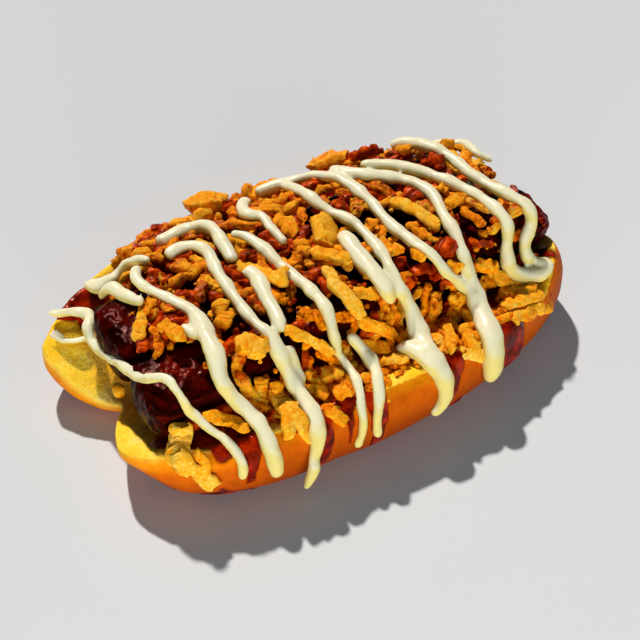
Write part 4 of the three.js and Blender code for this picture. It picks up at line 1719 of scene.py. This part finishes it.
STRANDS: tuple[Strand, ...] = (
    Strand(
        (6, 6, 5.2, 4.4, 4.2, 4.2, 4.2, 4, 3.8, 3.6, 3.6, 3.4, 3.2, 3, 3, 3.4, 3.6, 3.6),
        ((-55.5, -34), (-52, -40), (-49, -46), (-47, -53), (-47, -60)),
        ((-75.2, 29.6, 26.6), (-69.2, 28.4, 26.2), (-65, 25.4, 26), (-65, 21.4, 27), (-67.4, 18.4, 27),
         (-67.6, 14, 25), (-66.8, 6, 27), (-66, -3.4, 31), (-64.9, -14.9, 35.6), (-63.4, -20.6, 39.6),
         (-60.6, -24.1, 42), (-59.4, -29.6, 42), (-57.8, -33, 37)),
    ),
    Strand(
        (3.6, 4.4, 4.6, 4),
        (),
        ((-77, 26, 23), (-73.5, 22.8, 21.8), (-69.6, 20.6, 20.8), (-66.4, 20.6, 21)),
    ),
    Strand(
        (7.4, 8.6, 7.6, 5.6, 5, 4.6, 4),
        ((-46, 31), (-43.5, 26)),
        ((-61, 33.8, 28.4), (-57, 31.4, 29.4), (-53, 29.4, 32), (-49.5, 30, 34)),
    ),
    Strand((5, 4.8, 4.6, 3.8), ((-54, 18.4), (-51.6, 12)), ((-59.5, 25, 32), (-57, 21, 38))),
    Strand(
        (3.6, 4, 3.8, 3.8, 4.4, 4.8, 5.6, 7, 7, 5.4, 6, 6.4, 6.4, 6.4, 6.6, 6.2),
        ((-48, 26), (-50.2, 21.5), (-49.6, 17), (-47.5, 12), (-44, 5.5), (-41.6, 0), (-41, -5),
         (-42.3, -11.5), (-43.3, -19), (-44.8, -26.5), (-43.6, -32), (-40, -38.5), (-38, -46.5),
         (-37.5, -54), (-37, -60), (-36.5, -64)),
    ),
    Strand((3, 3.6, 3.6), ((-47.5, -3), (-46, -6.5), (-43.5, -11))),
    Strand(
        (1.6, 3, 4, 4.4, 5, 5.6, 6.2, 6.4, 5.8, 4.6, 4, 4.6, 4.8, 5, 5.2, 4.8, 3.6),
        ((-24, -62), (-22.4, -56), (-21.5, -50), (-21.8, -41), (-23, -33), (-24, -26), (-25.3, -19),
         (-27, -11.5), (-27.3, 3), (-27, 13.5), (-25.5, 21), (-28.5, 25.5), (-34, 26.5), (-39, 24.5)),
        ((-27.6, -53.6, 2.5), (-26.6, -53.9, 7), (-25.2, -54.2, 12)),
    ),
    Strand(
        (6.6, 7.4, 6.2, 5.2, 5, 4.4),
        ((-37, 36), (-30, 38), (-22, 38), (-19.5, 29), (-20, 19), (-20.5, 12)),
    ),
    Strand(
        (4.6, 6.4, 5.8, 5.6, 5.2, 4),
        ((-19, 9.5), (-17.5, 3), (-18.5, -4), (-19, -10), (-20, -16), (-21, -20)),
    ),
    Strand((4, 3.6, 3.4), ((-21, -24), (-19.5, -33), (-20, -40))),
    Strand(
        (3.6, 4.4, 4.6, 4.4, 4.6, 4.8, 4.6, 4, 3),
        ((-16.5, 25), (-12, 22.6), (-10, 15.8), (-8.8, 7.6), (-6.6, -2), (-5, -10), (-4.6, -18),
         (-5, -26), (-5, -35)),
    ),
    Strand(
        (2.6, 3, 3, 3, 3, 2.8),
        ((-5, -31), (-3, -38), (-4, -46), (-6.3, -54), (-7, -61), (-8.5, -68)),
    ),
    Strand(
        (3, 4.6, 5, 4.2, 3.4, 3.2),
        ((-0.5, -26.5), (3.5, -33), (4.8, -39), (2, -48), (-1, -56), (-2, -66)),
    ),
    Strand((5, 5, 4.6, 4.4, 4, 3.4), ((-1, 44), (-6, 36), (-7, 30), (-3, 27), (-3.5, 20), (-2, 12))),
    Strand((4.6, 6.6, 6.6, 6, 3.6), ((15.5, 10), (15, 2), (15.5, -8), (16.3, -17), (17.5, -23))),
    Strand(
        (4.4, 4.2, 4, 4.2, 4.2, 4.2, 4.2, 5, 8.4, 8, 6.8, 5.6, 4.6, 3.6),
        ((12, 42), (14, 30), (16, 20.5), (20, 14.5), (22, 4), (22, -7), (21.2, -18), (23.5, -24.5), (23, -38),
         (21.5, -46), (23, -53), (23, -60), (21, -65), (18, -68)),
    ),
    Strand((2.6, 5.6, 6.8, 6.4, 5), ((13, -36.8), (16.4, -39.8), (18.8, -44), (20.6, -49), (22, -54))),
    Strand(
        (5, 5, 4.8, 4.6, 4.4, 4.4, 4, 3.8, 4, 4.4, 4.6),
        ((2, 45), (12, 44), (22, 38), (28, 29), (30.3, 17), (31, 5), (33.5, -6), (36, -12), (38, -18),
         (42, -23), (45.5, -29)),
    ),
    Strand(
        (5.4, 5.4, 5, 5, 4.8, 4.6, 4.6, 5, 6, 8.6, 8.6, 8.4, 8),
        ((27, 38), (33, 30), (40, 25.6), (46, 20), (49.6, 11), (48.4, 2), (47.4, -6), (46, -15),
         (46.6, -23.5), (46, -38), (43.5, -48), (42, -56), (41.5, -62)),
    ),
    Strand(
        (5, 5, 4.8, 4.8, 4.8, 5.2, 5.2, 5.2, 5.4, 6, 6, 5.6, 4.6, 3.8, 3.4),
        ((36, 34), (44, 29.5), (51, 23), (57, 13.7), (61.5, 5.2), (64, -3.4), (65, -9.7), (64, -15),
         (62, -20.6), (62.4, -25.8), (67, -30.2), (73, -31.8), (76, -28), (74.6, -25.6), (71, -26.2)),
    ),
    Strand(
        (6.6, 7, 6, 5, 4.6, 4.6, 4.6, 4.8, 5, 5, 4.8, 4.6, 4.6, 4.6),
        ((51, 42), (56, 38), (60, 32), (63, 27), (64.5, 19.7), (65.6, 12.7), (68, 6.5), (71, -0.8),
         (74, -6.4), (74.8, -10.7), (73, -15), (69.6, -18.6), (70, -23.2), (73, -26.9)),
    ),
    Strand((3, 4, 4, 3, 2), ((62, 34), (69, 34), (73, 29), (72.5, 21), (75.5, 16))),
)


@dataclass
class Mayonnaise:
    """The strands of mayonnaise, run together where they cross."""

    chart: Chart
    voxel: float = 0.62
    step: float = 1.0
    raised: float = 0.24
    stiff: int = 9
    slim: tuple[float, float] = (1.04, 0.86)
    slim_widths: tuple[float, float] = (3.0, 6.0)
    heart: tuple[float, float, float] = (-45.0, 5.0, 5.0)
    ripple: float = 0.13
    ripple_size: float = 4.5
    bridged: float = 0.4

    def rod(self, strand: Strand) -> Rod:
        """Returns a strand's rod, lying on the food with its round ends."""
        places = np.array(strand.at, float).reshape(-1, 2)
        spans = np.array(strand.before, float).reshape(-1, 3)
        count = len(places) + len(spans)
        given = np.array(strand.wide)
        widths = np.interp(np.linspace(0, 1, count), np.linspace(0, 1, len(given)), given)
        widths = widths * np.interp(widths, self.slim_widths, self.slim)
        out = self.chart.out(places[:, 0], places[:, 1])
        lift = widths[len(spans):] * self.raised
        laid = self.chart.at(places[:, 0], places[:, 1]) + out * lift[:, None]
        knots = np.vstack([spans, laid])
        out = np.vstack([unit(spans - np.array(self.heart)), out])
        line, along = smooth_path(knots, self.step)
        wide = np.interp(along, np.arange(count), widths)
        facing = unit(np.stack([np.interp(along, np.arange(count), out[:, k]) for k in range(3)], axis=1))
        line = self.spanned(line, facing, ease(along - len(spans) + 1))
        from_end = np.minimum(np.arange(len(line)), np.arange(len(line))[::-1]) * self.step
        cap = np.sqrt(1 - (1 - clamp01((from_end + 0.15) / (wide * 0.5))) ** 2)
        ripple = 1 + self.ripple * Noise(51).at(line, self.ripple_size)
        return Rod(line, wide / 2 * cap * ripple, facing)

    def spanned(self, line: Array, out: Array, share: Array) -> Array:
        """Lifts a line where it would dip into a hollow, as a thick strand spans it.

        Args:
            line: Points of the strand.
            out: The directions that face away from the food.
            share: How far each point may be lifted, 0 to 1.

        Returns:
            The lifted points.
        """
        first, last = (np.repeat(end, self.stiff, axis=0) for end in (line[:1], line[-1:]))
        ends = np.vstack([first, line, last])
        window = np.hanning(2 * self.stiff + 3)[1:-1]
        window /= window.sum()
        soft = np.stack([np.convolve(ends[:, k], window, mode="valid") for k in range(3)], axis=1)
        bridge = ease(((soft - line) * out).sum(axis=1) / self.bridged + 0.5) * share
        return line + (soft - line) * bridge[:, None]

    def rods(self) -> list[Rod]:
        """Returns the rods of all strands."""
        return [self.rod(strand) for strand in STRANDS]

    def build(self, rods: Rods) -> None:
        """Makes the mayonnaise."""
        finish = MayonnaiseFinish().material()
        sizes = {"Lump_size": 6 * MM, "Lump_depth": 0.5 * MM}
        sizes |= {"Grain_size": 3 * MM, "Grain_depth": 0.1 * MM}
        sizes |= {"Step": 0.8 * MM, "Sides": 14, "Flatness": 0.86}
        piece = rods.make("mayonnaise", self.rods(), finish, **sizes)
        remeshed(piece, self.voxel, 4)
        piece.data.materials.clear()
        piece.data.materials.append(finish)
        take_place(piece, "toppings", "mayonnaise")


# ---------------------------------------------------------------- studio


@dataclass(frozen=True)
class Studio:
    """The camera, a plain pale floor and soft studio light."""

    azimuth: float = 28.0
    elevation: float = 46.0
    distance: float = 750.0
    target: tuple[float, float, float] = (0.0, 0.0, 20.0)
    pixels_a_mm: float = 3.12
    target_pixel: tuple[float, float] = (304.4, 309.0)
    sensor: float = 36.0
    floor_grey: Colour = Colour(204, 209, 210)
    key_towards: tuple[float, float, float] = (0.09, 0.654, 0.751)
    key_power: float = 4.1
    key_angle: float = 2.4
    fill_power: float = 20.5
    fill_colour: tuple[float, float, float] = (0.95, 0.97, 0.98)
    fill_size: tuple[float, float] = (2.4, 0.18)
    fill_at: tuple[float, float, float] = (-0.4, -0.97, 0.115)
    key_colour: tuple[float, float, float] = (1.0, 0.925, 0.88)
    sky: float = 0.095
    sky_colour: Colour = Colour(165, 218, 255)
    floor_reach: float = 3000.0
    floor_roughness: float = 0.9

    def camera(self) -> None:
        """Sets the camera, with the target at its own pixel."""
        az, el = math.radians(self.azimuth), math.radians(self.elevation)
        back = Vector((-math.sin(az) * math.cos(el), -math.cos(az) * math.cos(el), math.sin(el)))
        data = bpy.data.cameras.new("camera")
        data.sensor_width = self.sensor
        data.lens = self.sensor * self.pixels_a_mm * self.distance / IMAGE_PIXELS
        data.shift_x = (IMAGE_PIXELS / 2 - self.target_pixel[0]) / IMAGE_PIXELS
        data.shift_y = (self.target_pixel[1] - IMAGE_PIXELS / 2) / IMAGE_PIXELS
        camera = bpy.data.objects.new("camera", data)
        camera.location = (Vector(self.target) + back * self.distance) * MM
        camera.rotation_euler = (-back).to_track_quat("-Z", "Y").to_euler()
        bpy.context.scene.collection.objects.link(camera)
        bpy.context.scene.camera = camera

    def floor(self) -> None:
        """Lays the floor."""
        corners = np.array([(-1, -1, 0), (1, -1, 0), (1, 1, 0), (-1, 1, 0)]) * self.floor_reach
        floor = new_piece("floor", corners, [(0, 1, 2, 3)])
        grey = self.floor_grey.linear
        finish = Shader("studio_floor").finish(Base_Color=grey, Roughness=self.floor_roughness)
        floor.data.materials.append(finish)

    def light(self) -> None:
        """Sets a key from behind, a wide soft fill from the front left, and a pale sky."""
        key = bpy.data.lights.new("key", "SUN")
        key.energy = self.key_power
        key.angle = math.radians(self.key_angle)
        key.color = self.key_colour
        key_object = bpy.data.objects.new("key", key)
        key_object.rotation_euler = Vector(self.key_towards).to_track_quat("Z", "Y").to_euler()
        fill = bpy.data.lights.new("fill", "AREA")
        fill.energy = self.fill_power
        fill.color = self.fill_colour
        fill.shape = "RECTANGLE"
        fill.size, fill.size_y = self.fill_size
        fill_object = bpy.data.objects.new("fill", fill)
        fill_object.location = self.fill_at
        fill_object.visible_glossy = False
        fill_object.rotation_euler = fill_object.location.to_track_quat("Z", "Y").to_euler()
        for light in (key_object, fill_object):
            bpy.context.scene.collection.objects.link(light)
        world = bpy.data.worlds.new("studio")
        world.use_nodes = True
        world.node_tree.nodes["Background"].inputs[0].default_value = self.sky_colour.linear
        world.node_tree.nodes["Background"].inputs[1].default_value = self.sky
        bpy.context.scene.world = world
        bpy.context.scene.view_settings.view_transform = "Standard"

    def build(self) -> None:
        """Makes the studio."""
        self.camera()
        self.floor()
        self.light()


def main() -> None:
    """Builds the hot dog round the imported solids."""
    logging.basicConfig(level=logging.INFO, format="%(message)s")
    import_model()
    form = Form.from_frame()
    chart = Chart(form)
    Studio().build()
    rods, lumps = Rods(), Lumps()
    Bun(form).build(Sauce())
    SausageHalf(form, 1, "sausage_half_back", past_left=2.0, past_right=-3.0, droop=4.5).build()
    torn = ((-53.0, -18.0, 5.0, 5.0), (84.0, -4.0, 4.0, 9.0))
    SausageHalf(form, -1, "sausage_half_front", past_left=2.5, past_right=2.5, cuts=torn).build()
    mayonnaise = Mayonnaise(chart)
    Onions(form, chart, mayonnaise.rods()).build(rods, lumps)
    mayonnaise.build(rods)
    for group in (rods.group, lumps.group):
        bpy.data.node_groups.remove(group)


if __name__ == "__main__":
    main()
